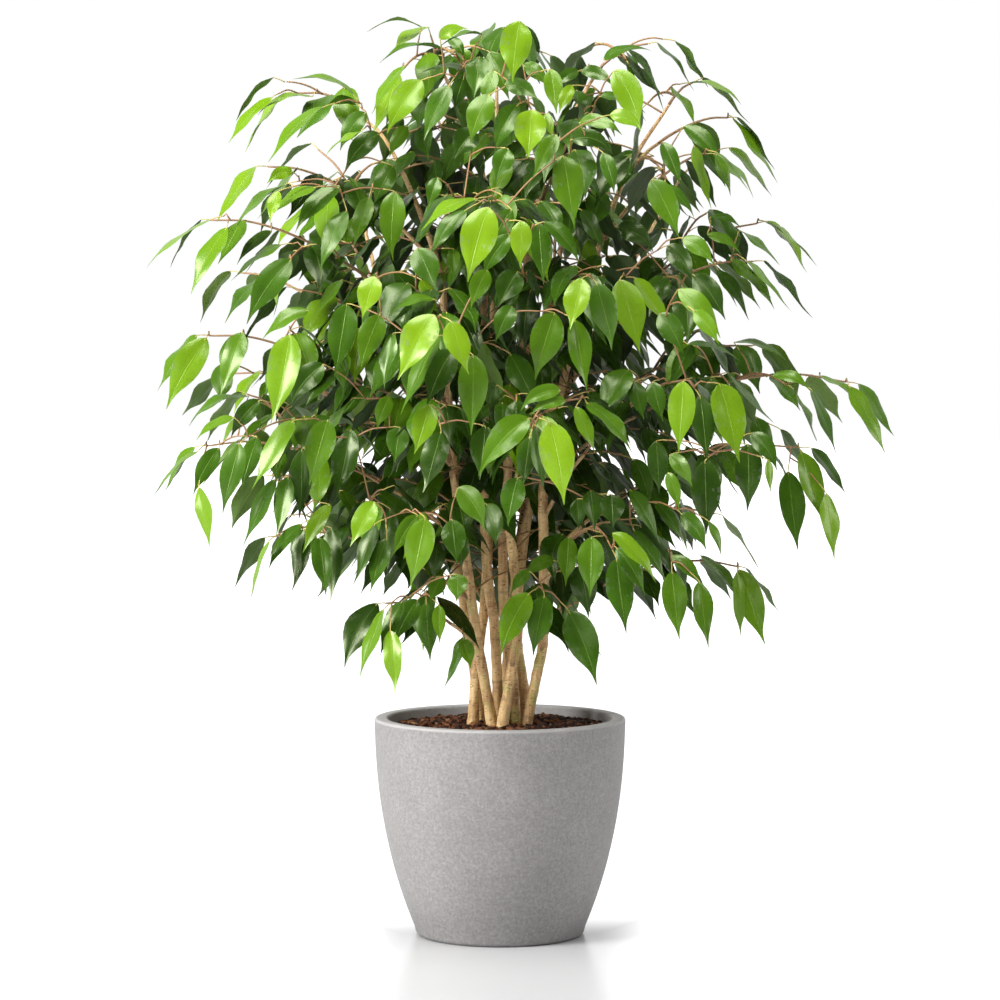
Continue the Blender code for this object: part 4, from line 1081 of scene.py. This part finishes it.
def stone_material():
    """Cast stone: warm grey with soft clouds, fine scratches and pin holes, with painted light that
    makes the rim's top and inner lip paler.
    """
    m = Node("planter_stone")
    where = m.place()
    cloud = m.noise(where, 16.0, 5.0, 0.65)
    mottle = m.noise(where, 300.0, 4.0, 0.75)
    grain = m.noise(where, 700.0, 3.0, 0.6)
    scratches = [
        m.noise(m.stretched(where, scale, rotation), 1.0, 3.0, 0.6)
        for scale, rotation in (
            ((60.0, 60.0, 420.0), (0.3, 0.2, 0.5)), ((380.0, 60.0, 60.0), (1.1, 0.5, 0.1)),
        )
    ]
    shade = m.math("MULTIPLY_ADD", cloud, 0.14, m.times(mottle, 0.66))
    for scratch in scratches:
        shade = m.plus(shade, m.times(scratch, 0.10))
    colour = m.ramp(shade, (
        (0.36, (0.150, 0.144, 0.141)), (0.5, (0.208, 0.200, 0.196)), (0.64, (0.275, 0.266, 0.261)),
    ))
    # Painted light: the rim's top and the upper inner wall are paler, lifting the crown's shade there.
    height = m.axis(where, "Z")
    flat = m.make("ShaderNodeVectorMath", {0: where, 1: (1, 1, 0)}, operation="MULTIPLY")
    radius = m.make("ShaderNodeVectorMath", {0: flat.outputs["Vector"]}, operation="LENGTH")
    inside = m.fade(radius.outputs["Value"], RIM_RADIUS - WALL, RIM_RADIUS - WALL + 4 * MM)
    inside = m.times(inside, m.ease(height, 200 * MM, 225 * MM))
    rim = m.ease(height, POT_HEIGHT - 4 * MM, POT_HEIGHT - 0.6 * MM)
    pale = m.math("MAXIMUM", m.times(rim, 0.85), m.times(inside, 0.45))
    colour = m.mix(pale, colour, (0.45, 0.435, 0.425))
    pits = m.fade(m.noise(where, 260.0, 2.0), 0.27, 0.36)
    colour = m.mix(m.times(pits, 0.5), colour, (0.16, 0.15, 0.14))
    m.link(colour, m.shader.inputs["Base Color"])
    m.link(m.span(mottle, 0.5, 0.75), m.shader.inputs["Roughness"])
    m.shader.inputs["Specular IOR Level"].default_value = 0.4
    relief = m.plus(m.times(grain, 0.25), m.times(scratches[0], 0.4))
    relief = m.plus(m.times(mottle, 0.6), relief)
    m.bump(m.math("SUBTRACT", relief, pits), 0.35 * MM, 0.6)
    return m.material


def chip_material():
    """Bark chips: dark red-brown with a fibrous grain."""
    m = Node("bark_chips")
    grain = m.noise(m.stretched(m.place(), (120.0, 500.0, 500.0)), 1.0, 4.0, 0.7)
    shade = m.plus(m.times(m.tone("Red"), 0.7), m.math("MULTIPLY_ADD", grain, 0.7, -0.2))
    colour = m.ramp(shade, (
        (0.1, (0.007, 0.003, 0.001)), (0.4, (0.050, 0.016, 0.006)), (0.7, (0.15, 0.052, 0.018)),
        (1.0, (0.30, 0.15, 0.065)),
    ))
    m.link(colour, m.shader.inputs["Base Color"])
    m.shader.inputs["Roughness"].default_value = 0.8
    m.shader.inputs["Specular IOR Level"].default_value = 0.25
    m.bump(grain, 1.2 * MM, 0.8)
    return m.material


def soil_material():
    """Dark, crumbly potting soil."""
    m = Node("potting_soil")
    crumb = m.noise(m.place(), 180.0, 4.0, 0.7)
    colour = m.ramp(crumb, ((0.3, (0.012, 0.006, 0.003)), (0.6, (0.04, 0.02, 0.01))))
    m.link(colour, m.shader.inputs["Base Color"])
    m.shader.inputs["Roughness"].default_value = 0.95
    m.bump(crumb, 2 * MM, 1.0)
    return m.material


def outer_radius(height):
    """The planter's outer radius at that height."""
    depth = 1 - height / POT_HEIGHT
    return RIM_RADIUS - POT_LEAN * depth - POT_BELLY * depth**POT_CURVE


def inner_radius(height):
    """The planter's inner radius at that height."""
    return outer_radius(height) - WALL


def arc(centre, radius, start, end, steps):
    """Points of a rounded edge. Its angles are degrees from +X towards +Z."""
    angles = [math.radians(start + (end - start) * i / steps) for i in range(steps + 1)]
    return [
        (centre[0] + radius * math.cos(angle), centre[1] + radius * math.sin(angle))
        for angle in angles
    ]


def make_planter(material):
    """The planter's shell, turned from its profile, with a slightly uneven cast surface."""
    sides = POT_SIDES
    shoulder = POT_HEIGHT - RIM_ROUND
    inner = [(0.5 * MM, FLOOR)] + [(inner_radius(z), z) for z in np.linspace(FLOOR, shoulder, 16)]
    inner_edge = arc((inner_radius(POT_HEIGHT) + RIM_ROUND, shoulder), RIM_ROUND, 165, 90, 5)
    outer_edge = arc((RIM_RADIUS - RIM_ROUND, shoulder), RIM_ROUND, 90, 15, 5)
    outer = [(outer_radius(z), z) for z in np.linspace(shoulder, FOOT_HEIGHT, 40)]
    foot = arc((outer_radius(FOOT_HEIGHT) - FOOT_ROUND * 1.12, FOOT_ROUND), FOOT_ROUND, -20, -90, 6)
    profile = inner + inner_edge + outer_edge + outer + foot
    rings = []
    for radius, z in profile:
        ring = []
        for j in range(sides):
            turn = math.tau * j / sides
            spot = Vector((radius * math.cos(turn), radius * math.sin(turn), z))
            swell = 1 + 0.0012 * noise(spot * 14) if z > 0.001 else 1
            ring.append((spot.x * swell, spot.y * swell, z))
        rings.append(ring)
    count = len(rings)
    faces = wall_faces(count, sides) + end_faces(count, sides)[::-1]
    data = bpy.data.meshes.new("planter_shell")
    points = [point for ring in rings for point in ring]
    data.from_pydata(points, [], [face[::-1] for face in faces])
    data.polygons.foreach_set("use_smooth", [True] * (len(faces) - 2) + [False, False])
    data.materials.append(material)
    made = bpy.data.objects.new("planter_shell", data)
    bpy.context.scene.collection.objects.link(made)
    return made


class ShownLeaf(Leaf):
    """A leaf that hangs at a place read off the front view. One that looks slim is turned aside."""

    def __init__(self, base, tip, seen_width, draw):
        chord = tip - base
        along = chord.normalized()
        width = max(seen_width, LEAST_WIDTH * chord.length)
        self.length = chord.length * 1.02
        self.half_width = width / 2
        self.base = base
        self.tip_depth = tip.y
        lift = UP * (0.10 + 0.70 * math.hypot(along.x, along.y)) + Vector((0, -0.16, 0))
        self.first = (along + lift).normalized()
        self.last = (along - lift).normalized()
        facing = Vector((draw.uniform(-0.2, 0.2), -1, 0.25))
        angle = math.acos(min(1.0, seen_width / width))
        outward = Vector((3 * base.x, 0, 1))
        turned = [Matrix.Rotation(sign * angle, 3, along) @ facing for sign in (-1, 1)]
        self.facing = max(turned, key=outward.dot)


def on_plane(point):
    """Where the eye sees the point, in centimetres on the plane through the pot's axis."""
    spread = 1 + point.y / EYE_DISTANCE
    return point.x / spread / CM, (EYE_HEIGHT + (point.z - EYE_HEIGHT) / spread) / CM


def is_inside(leaf):
    """Whether the middle of the blade lies in the dense part of the crown."""
    point = leaf.midrib(0.5)[0]
    x, z = on_plane(point)
    for (z0, *first), (z1, *second) in zip(CROWN_REACH, CROWN_REACH[1:]):
        if z0 <= z <= z1:
            share = (z - z0) / (z1 - z0)
            left, right = (a + (b - a) * share for a, b in zip(first, second))
            across = x / (right if x > 0 else left)
            deep = point.y / CM / ((right - left) / 2 + 4)
            return across * across + deep * deep < 1
    return False


class Crown:
    """Everything that grows, and what it must stay clear of."""

    def __init__(self, stems, limbs, shoots):
        self.growths = {node: Growth() for node in shoots}
        self.crowd = Crowd()
        self.twigs = []
        self.shown = []
        self.seen = []
        for paths in (stems.values(), *limbs.values()):
            for path in paths:
                self.crowd.add(branch_shape(path, STEM_ROOM))
        for node, paths in shoots.items():
            for path in paths:
                self.crowd.add(branch_shape(path, SHOOT_RADIUS))
                self.twigs.append((node, path))

    def place_leaf(self, node, leaf, tone, key):
        """Adds the leaf to the node's piece and notes where the front view shows it."""
        draw = random.Random("blade " + key)
        self.growths[node].leaf(leaf, draw, tone)
        self.crowd.add(leaf_shape(leaf))
        for share in (0.05, 0.25, 0.45, 0.65, 0.85):
            spot = leaf.midrib(share)[0]
            self.seen.append((*on_plane(spot), spot.y, leaf.half_width / CM))

    def front_depth(self, x0, z0, x1, z1, width):
        """The depth of the nearest leaf that hangs where the front view shows this one."""
        found = 9.0
        for x, z, y, half in self.seen:
            if off_line(x, z, x0, z0, x1, z1) < width * 0.35 + half * 0.7:
                found = min(found, y)
        return found

    def hides_shown(self, leaf):
        """Whether the leaf would hang in front of a leaf or a stem that the front view shows."""
        middle, half, low, high = STEM_WINDOW
        for share in (0.15, 0.4, 0.65, 0.9):
            point = leaf.midrib(share)[0]
            x, z = on_plane(point)
            if point.y < STEM_WINDOW_DEPTH and abs(x - middle) < half and low < z < high:
                return True
            for ends, width, depth in self.shown:
                if point.y <= depth + 5 * MM and off_line(x, z, *ends) < width * 0.5 + 0.9:
                    return True
        return False

    def try_leaf(self, node, point, along, side, key, tone, kept_outside):
        """Places a leaf there, turned until it is clear, and says whether it did."""
        draw = random.Random("size " + key)
        size = draw.uniform(*FILL_SIZE)
        kept = draw.random() < kept_outside
        for turn in MORE_TURNS:
            leaf = Leaf(point, along, side, key, math.radians(turn))
            leaf.shrink(size)
            if not in_crown(leaf) or self.hides_shown(leaf) or not (kept or is_inside(leaf)):
                continue
            if not self.crowd.meets(leaf_shape(leaf)):
                self.place_leaf(node, leaf, tone, key)
                return True
        return False


def pick_tone(leaf, end, draw):
    """How light a leaf's green is, from 0 to 1, in red: partly its age, as end leaves are young,
    and partly painted light and shade. Green is the leaf's own chance.
    """
    x, y, z = leaf.base
    reach = math.hypot(x, y) / 0.40
    front = max(0.0, min(1.0, -y / 0.2))
    # Painted light and shade: lighter towards the crown's outside and its left, where the key lamp
    # falls, and darker in its middle; also lighter at the top and a little darker towards the front.
    value = 0.15 + draw.gauss(0, 0.10) + 0.42 * max(0.0, reach - 0.35) - 0.09 * front
    value += 0.05 * max(-1.0, min(1.0, -x / 0.3)) + 0.15 * max(0.0, (z - 0.85) / 0.2)
    if draw.random() < (0.38 if end else 0.13) * min(1.0, 0.3 + reach) * (1 - 0.55 * front):
        value += draw.uniform(0.25, 0.6)
    return (min(1.0, max(0.0, value)), draw.random(), 0.4, 1)


def grow_solid_leaves(crown, shoots):
    """The leaves that the solids have, in the same pose."""
    for node, paths in shoots.items():
        corners = solid_corners(node)
        for point, along, side, key in leaf_seats(paths):
            leaf = solid_leaf(node, point, along, side, key, corners)
            if leaf:
                name = f"{node}.{key}"
                tone = pick_tone(leaf, side == 0, random.Random("tone " + name))
                crown.place_leaf(node, leaf, tone, name)


def twig_samples(node, path):
    """Points along a twig with their places in the front view, where other twigs may start."""
    return [(node, point, *on_plane(point)) for point in smooth(path, TWIG_STEP)]


def shown_leaf(crown, number, samples):
    """A leaf of the table at the depth of the twigs behind it, or further forward to be clear."""
    x0, z0, x1, z1, width, _ = SHOWN_LEAVES[number]
    draw = random.Random(f"shown {number}")
    level = []
    for _, point, x, z in samples:
        away = math.hypot(x - x0, z - z0 - 1.0)
        if away < SHOWN_REACH:
            level.append(point.y / CM + away * 1.6)
    if not level:
        return None, draw
    start = min(min(level), crown.front_depth(x0, z0, x1, z1, width) / CM)
    for forward in SHOWN_STEPS:
        depth = max(start - forward, SHOWN_FRONT)
        base = seen_at(x0, depth, z0)
        tip = seen_at(x1, depth - 0.8, z1)
        seen_width = width * CM * (1 + base.y / EYE_DISTANCE) * 0.97
        leaf = ShownLeaf(base, tip, seen_width, draw)
        if not crown.crowd.meets(leaf_shape(leaf)):
            return leaf, draw
    return None, draw


def way_to(crown, base, near):
    """A short twig to the leaf's base from the first of the near points that leaves it clear."""
    ways = []
    for _, node, root in near[:WAYS_TRIED]:
        share = max(0.0, 1 - 1.4 * CM / max(1.5 * CM, (base - root).length))
        joint = root.lerp(base, share) + UP * (3 * MM)
        way = smooth([root, root.lerp(joint, 0.5) + UP * (4 * MM), joint], 6 * MM)
        ways.append((node, way))
        if len(way) < 5 or not crown.crowd.meets(branch_shape(way[2:], WAY_RADIUS)):
            return node, way
    return ways[0]


def grow_shown_leaves(crown):
    """The leaves that the front view shows, the darkest first, each on a short twig of its own."""
    first_samples = [sample for node, path in crown.twigs for sample in twig_samples(node, path)]
    samples = list(first_samples)
    order = sorted(range(len(SHOWN_LEAVES)), key=lambda number: SHOWN_LEAVES[number][-1])
    for number in order:
        x0, z0, x1, z1, width, bright = SHOWN_LEAVES[number]
        leaf, draw = shown_leaf(crown, number, first_samples)
        if not leaf:
            continue
        near = []
        for node, point, x, z in samples:
            if math.hypot(x - x0, z - z0) < SHOWN_REACH:
                above = max(0.0, point.z - leaf.base.z - 5 * MM)
                near.append(((point - leaf.base).length + 1.5 * above, node, point))
        near.sort(key=lambda item: item[0])
        node, way = way_to(crown, leaf.base, near)
        leaf.root = way[-1]
        crown.growths[node].tube(way, taper(way, 1.1 * MM, 0.8 * MM), TWIG_SIDES, (0, 0, 0.6, 1))
        crown.crowd.add(branch_shape(way, WAY_RADIUS))
        samples += twig_samples(node, way)
        crown.place_leaf(node, leaf, (bright, draw.random(), 0.3, 1), f"shown {number}")
        crown.shown.append(((x0, z0, x1, z1), width, leaf.tip_depth))


def grow_between(crown, shoots):
    """Leaves halfway between the solids' leaves, on the other side of the twig."""
    for node, paths in shoots.items():
        for t, twig in enumerate(paths):
            length = lengths_along(twig)[-1]
            count = int((length - 12 * MM) / LEAF_SPACING)
            for i in range(count + 1):
                distance = length - (i + 0.5) * LEAF_SPACING
                if distance < 4 * MM:
                    continue
                point, along = point_along(twig, distance)
                key = f"{node}.between.{t}.{i}"
                tone = pick_tone(Leaf(point, along, 1, key), False, random.Random("tone " + key))
                side = -1 if i % 2 else 1
                crown.try_leaf(node, point, along, side, key, tone, KEPT_BETWEEN)


def grow_twiglet(crown, node, start, along, side, key, reach):
    """A side twig with its leaves. It is left off where it would pass through something."""
    draw = random.Random("twiglet " + key)
    across = along.cross(UP).normalized() * side
    outward = Vector((start.x, start.y, 0)).normalized()
    for _ in range(TWIGLET_TRIES):
        chance = Vector([draw.uniform(-1, 1) for _ in range(3)])
        direction = along * 0.55 + across * 0.75 + outward * 0.25 + chance * 0.45
        direction.z = direction.z * 0.5 + 0.12
        length = draw.uniform(*reach)
        tip = start + direction.normalized() * length + UP * (-0.10 * length)
        path = arched(start, tip, 0, 4)
        body = branch_shape(path[1:], TWIGLET_RADIUS)
        leaf = Leaf(path[-1], (path[-1] - path[-2]).normalized(), 0, key)
        if in_crown(leaf) and not crown.crowd.meets(body):
            break
    else:
        return
    reached = 0
    for i in range(int((length - 10 * MM) / TWIGLET_LEAF_SPACING) + 1):
        distance = length - i * TWIGLET_LEAF_SPACING
        point, heading = point_along(path, distance)
        side_here = side_of(i)
        name = f"{key}.{i}"
        guess = Leaf(point, heading, side_here, name)
        tone = pick_tone(guess, i == 0, random.Random("tone " + name))
        if crown.try_leaf(node, point, heading, side_here, name, tone, KEPT_OUTSIDE):
            reached = max(reached, distance + 4 * MM)
    if reached:
        curve = smooth(path, TWIG_STEP)
        curve = [point for point, s in zip(curve, lengths_along(curve)) if s <= reached]
        radii = taper(curve, 1.25 * MM, 0.85 * MM)
        crown.growths[node].tube(curve, radii, TWIG_SIDES, (0, 0, 0.55, 1))
        crown.crowd.add(body)


def grow_twiglets(crown, shoots):
    """Side twigs along the shoots' own twigs."""
    for node, paths in shoots.items():
        for t, twig in enumerate(paths):
            length = lengths_along(twig)[-1]
            count = int((length - 20 * MM) / TWIGLET_SPACING)
            for i in range(count):
                point, along = point_along(twig, length - 30 * MM - i * TWIGLET_SPACING)
                side = 1 if i % 2 else -1
                key = f"{node}.side.{t}.{i}"
                grow_twiglet(crown, node, point, along, side, key, TWIGLET_LENGTH)


def grow_core(crown, stems, limbs):
    """Leafy twigs straight off the stems and limbs, inside the crown."""
    for name, stem in stems.items():
        node = "shoot_top_" + name.removeprefix("stem_")
        for p, path in enumerate([stem] + limbs[name]):
            length = lengths_along(path)[-1]
            for i in range(int(length / CORE_SPACING)):
                point, _ = point_along(path, length - 12 * MM - i * CORE_SPACING)
                if point.z < BACK_HEIGHT:
                    continue
                turn = random.Random(f"turn {name} {p} {i}").uniform(0, math.tau)
                heading = Vector((math.cos(turn), math.sin(turn), 0.35))
                heading += Vector((point.x, point.y, 0)).normalized() * 0.5
                if point.z < CORE_HEIGHT:
                    heading.y = abs(heading.y) + 0.6
                side = 1 if i % 2 else -1
                key = f"{name}.core.{p}.{i}"
                grow_twiglet(crown, node, point, heading.normalized(), side, key, CORE_REACH)


def grow_crown(stems, limbs, shoots, materials):
    """Every leafy shoot, each as one piece."""
    crown = Crown(stems, limbs, shoots)
    for node, paths in shoots.items():
        for t, path in enumerate(paths):
            curve = smooth(path, TWIG_STEP)
            radii = taper(curve, SHOOT_RADIUS, TWIG_TIP_RADIUS * 0.75)
            crown.growths[node].tube(curve, radii, SHOOT_SIDES, (0, 0, 0.65 if t else 0.8, 1))
    grow_solid_leaves(crown, shoots)
    grow_shown_leaves(crown)
    grow_between(crown, shoots)
    grow_twiglets(crown, shoots)
    grow_core(crown, stems, limbs)
    for node, growth in crown.growths.items():
        piece = growth.build(node.replace("shoot_", "leaves_"), materials)
        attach(piece, "root")
        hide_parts(node)


def make_stems(stems, limbs, material):
    """Each stem with its limbs: round, a little uneven, flared where it meets the mulch."""
    for name, path in stems.items():
        growth = Growth()
        curve = smooth(path, 2.5 * MM)
        along = lengths_along(curve)
        draw = random.Random("bark " + name)
        scars = []
        spot = draw.uniform(45, 60) * MM
        while spot < along[-1]:
            scars.append((spot, draw.uniform(0.01, 0.07), draw.uniform(0.1, 0.5)))
            spot += draw.uniform(20, 60) * MM
        radii, tones = [], []
        for s, radius in zip(along, stem_radii(curve)):
            flare = 1 + 0.16 * hump(s - 40 * MM, 28 * MM)
            knot = sum(size * hump(s - at, 3.2 * MM) for at, size, _ in scars)
            ring = max((shade * hump(s - at, 1.7 * MM) for at, _, shade in scars), default=0)
            radii.append(radius * flare * (1 + knot))
            tones.append((0, ring, 0, 1))
        seed = draw.uniform(0, 50)
        growth.tube(curve, radii, STEM_SIDES, tones, wobble=0.10, seed=seed, slot=0)
        for limb in limbs[name]:
            bough = smooth(limb, 3 * MM)
            reach = lengths_along(bough)
            collars = [1 + 0.8 * math.exp(-s / (7 * MM)) for s in reach]
            sizes = [a * b for a, b in zip(taper(bough, LIMB_RADIUS, SHOOT_RADIUS), collars)]
            tones = [(0, 0.35 + 0.3 * hump(s - 9 * MM, 3 * MM), 0, 1) for s in reach]
            seed = draw.uniform(0, 50)
            growth.tube(bough, sizes, LIMB_SIDES, tones, wobble=0.07, seed=seed, slot=0)
        piece = growth.build(name + "_bark", [material])
        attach(piece, "root")
        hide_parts(name)


def chip(draw, spot, height):
    """One bark chip: a flat, ragged block at a chance angle, as points and faces."""
    length = draw.uniform(5, 15) * MM
    width = length * draw.uniform(0.35, 0.75)
    thick = draw.uniform(1.6, 4.0) * MM
    outline = []
    sides = draw.choice((5, 6, 7))
    for i in range(sides):
        turn = math.tau * (i + draw.uniform(-0.25, 0.25)) / sides
        outline.append((math.cos(turn) * length / 2, math.sin(turn) * width / 2))
    spin = Matrix.Rotation(draw.uniform(0, math.tau), 3, "Z")
    tilt = Matrix.Rotation(draw.gauss(0, 0.35), 3, "X") @ Matrix.Rotation(draw.gauss(0, 0.35), 3, "Y")
    points = []
    for level, share in ((-0.5, 0.86), (-0.15, 1.0), (0.25, 0.97), (0.5, 0.80)):
        for x, y in outline:
            bow = 0.5 * MM * math.sin(x * 300)
            point = Vector((x * share, y * share, level * thick + bow + draw.uniform(-0.25, 0.25) * MM))
            points.append(spin @ (tilt @ point) + Vector((*spot, height)))
    return points, end_faces(4, sides) + wall_faces(4, sides)


def make_mulch(stems, material):
    """The layer of bark chips on its mound, clear of the stems and inside the wall."""
    draw = random.Random(MULCH_SEED)
    growth = Growth()
    reach = inner_radius(SOIL_TOP) - GAP
    sides = MULCH_SIDES
    rings = []
    levels = [(reach, SOIL_TOP + GAP)]
    for share in MULCH_RINGS:
        levels.append((reach * share, MULCH_TOP - 3 * MM + MULCH_MOUND * (1 - share * share)))
    for number, (radius, height) in enumerate(levels):
        ring = []
        for j in range(sides):
            turn = math.tau * j / sides
            x, y = radius * math.cos(turn), radius * math.sin(turn)
            rough = 1.6 * MM * noise(Vector((x, y, 0)) * 160) if number > 1 else 0
            ring.append((x, y, height + rough))
        rings.append(ring)
    points = [point for ring in rings for point in ring]
    faces = wall_faces(len(rings), sides) + end_faces(len(rings), sides)[::-1]
    growth.add(points, faces, [0] * len(faces), [(0, 0)] * len(points), (0.25, 0, 0, 1))
    feet = []
    for path in stems.values():
        lean = (path[1] - path[0]) / (path[1].z - path[0].z)
        feet.append(path[0] + lean * (MULCH_TOP - path[0].z))
    spots = []
    tries = 0
    while len(spots) < CHIP_COUNT and tries < CHIP_COUNT * CHIP_TRIES:
        tries += 1
        spot = Vector((draw.uniform(-reach, reach), draw.uniform(-reach, reach)))
        if spot.length > reach - CHIP_TO_WALL:
            continue
        if any(math.hypot(spot.x - foot.x, spot.y - foot.y) < CHIP_TO_STEM for foot in feet):
            continue
        if any((spot - other).length < CHIP_SPACING for other in spots):
            continue
        spots.append(spot)
        mound = MULCH_MOUND * (1 - (spot.length / reach) ** 2)
        height = MULCH_TOP - 2.5 * MM + mound + draw.uniform(-0.5, 2.5) * MM
        points, faces = chip(draw, spot, height)
        tone = (draw.uniform(0, 1) ** 1.6, 0, 0, 1)
        growth.add(points, faces, [0] * len(faces), [(0, 0)] * len(points), tone)
    made = growth.build("bark_chip_layer", [material])
    made.data.polygons.foreach_set("use_smooth", [False] * len(made.data.polygons))
    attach(made, "root")
    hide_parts("bark_mulch")


def make_floor():
    """A pale, slightly glossy floor. It glows, as painted light that keeps it white and washes out
    the planter's shadow beside and behind it, but for the strip in front that mirrors the planter.
    """
    m = Node("studio_floor")
    where = m.place()
    colour = m.mix(m.noise(where, 3.0, 2.0), (0.50, 0.50, 0.50), (0.52, 0.52, 0.52))
    m.link(colour, m.shader.inputs["Base Color"])
    m.shader.inputs["Roughness"].default_value = 0.24
    m.shader.inputs["IOR"].default_value = 1.7
    away = m.make("ShaderNodeVectorMath", {0: where}, operation="LENGTH").outputs["Value"]
    m.shader.inputs["Emission Color"].default_value = (1, 1, 1, 1)
    # Painted light: the floor glows beside, behind and far from the planter, which washes out its
    # shadow.
    lit = m.ease(m.math("ABSOLUTE", m.axis(where, "X")), 0.11, 0.20)
    lit = m.math("MAXIMUM", lit, m.ease(m.axis(where, "Y"), -0.02, 0.14))
    lit = m.math("MAXIMUM", lit, m.ease(away, 0.6, 1.8))
    glow = m.math("MULTIPLY_ADD", lit, 0.62, m.times(m.ease(away, 2.0, 5.0), 0.38))
    m.link(glow, m.shader.inputs["Emission Strength"])
    bpy.ops.mesh.primitive_plane_add(size=40)
    floor = bpy.context.object
    floor.name = "studio_floor"
    floor.data.materials.append(m.material)


def make_world():
    """White all round for the eye. As a light it is bright behind the plant and dimmer elsewhere."""
    world = bpy.data.worlds.new("studio")
    world.use_nodes = True
    bpy.context.scene.world = world
    tree = world.node_tree
    backdrop = tree.nodes["Background"]
    backdrop.inputs["Color"].default_value = (1, 1, 1, 1)
    light = tree.nodes.new("ShaderNodeLightPath")
    toward = tree.nodes.new("ShaderNodeSeparateXYZ")
    tree.links.new(tree.nodes.new("ShaderNodeTexCoord").outputs["Generated"], toward.inputs[0])
    level = tree.nodes.new("ShaderNodeMapRange")
    level.interpolation_type = "SMOOTHSTEP"
    level.inputs["From Min"].default_value = 0.1
    level.inputs["From Max"].default_value = 0.8
    level.inputs["To Min"].default_value = AMBIENT
    level.inputs["To Max"].default_value = BACK_LIGHT
    tree.links.new(toward.outputs["Y"], level.inputs["Value"])
    choice = tree.nodes.new("ShaderNodeMix")
    tree.links.new(light.outputs["Is Camera Ray"], choice.inputs[0])
    tree.links.new(level.outputs["Result"], choice.inputs[2])
    choice.inputs[3].default_value = 1.0
    tree.links.new(choice.outputs[0], backdrop.inputs["Strength"])


def add_light(name, place, target, size, power):
    """A rectangular lamp that points at its target."""
    data = bpy.data.lights.new(name, "AREA")
    data.shape = "RECTANGLE"
    data.size, data.size_y = size
    data.energy = power
    made = bpy.data.objects.new(name, data)
    made.location = place
    made.rotation_euler = (Vector(target) - Vector(place)).to_track_quat("-Z", "Y").to_euler()
    bpy.context.scene.collection.objects.link(made)


def make_camera():
    """The camera where the eye is, aimed at the middle of the picture."""
    data = bpy.data.cameras.new("camera")
    data.lens = LENS
    data.sensor_width = 36
    made = bpy.data.objects.new("camera", data)
    made.location = (0, -EYE_DISTANCE, EYE_HEIGHT)
    made.rotation_euler = (AIM - made.location).to_track_quat("-Z", "Y").to_euler()
    bpy.context.scene.collection.objects.link(made)
    bpy.context.scene.camera = made


def main():
    """Grows the plant and builds the planter, the stage and the camera."""
    stems, limbs, shoots = skeleton()
    under = tuple((at, tuple(0.8 * c + 0.03 for c in colour)) for at, colour in LEAF_RAMP)
    materials = [
        leaf_material("leaf_top", LEAF_RAMP, 0.27), leaf_material("leaf_underside", under, 0.50),
        twig_material(),
    ]
    grow_crown(stems, limbs, shoots, materials)
    make_stems(stems, limbs, bark_material())

    planter = make_planter(stone_material())
    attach(planter, "root")
    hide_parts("planter")
    make_mulch(stems, chip_material())
    soil_finish = soil_material()
    for place in bpy.data.objects["potting_soil"].material_slots:
        place.material = soil_finish

    make_floor()
    make_world()
    for name, settings in LAMPS.items():
        add_light(name, *settings)
    make_camera()
    bpy.context.scene.view_settings.view_transform = "Standard"


main()
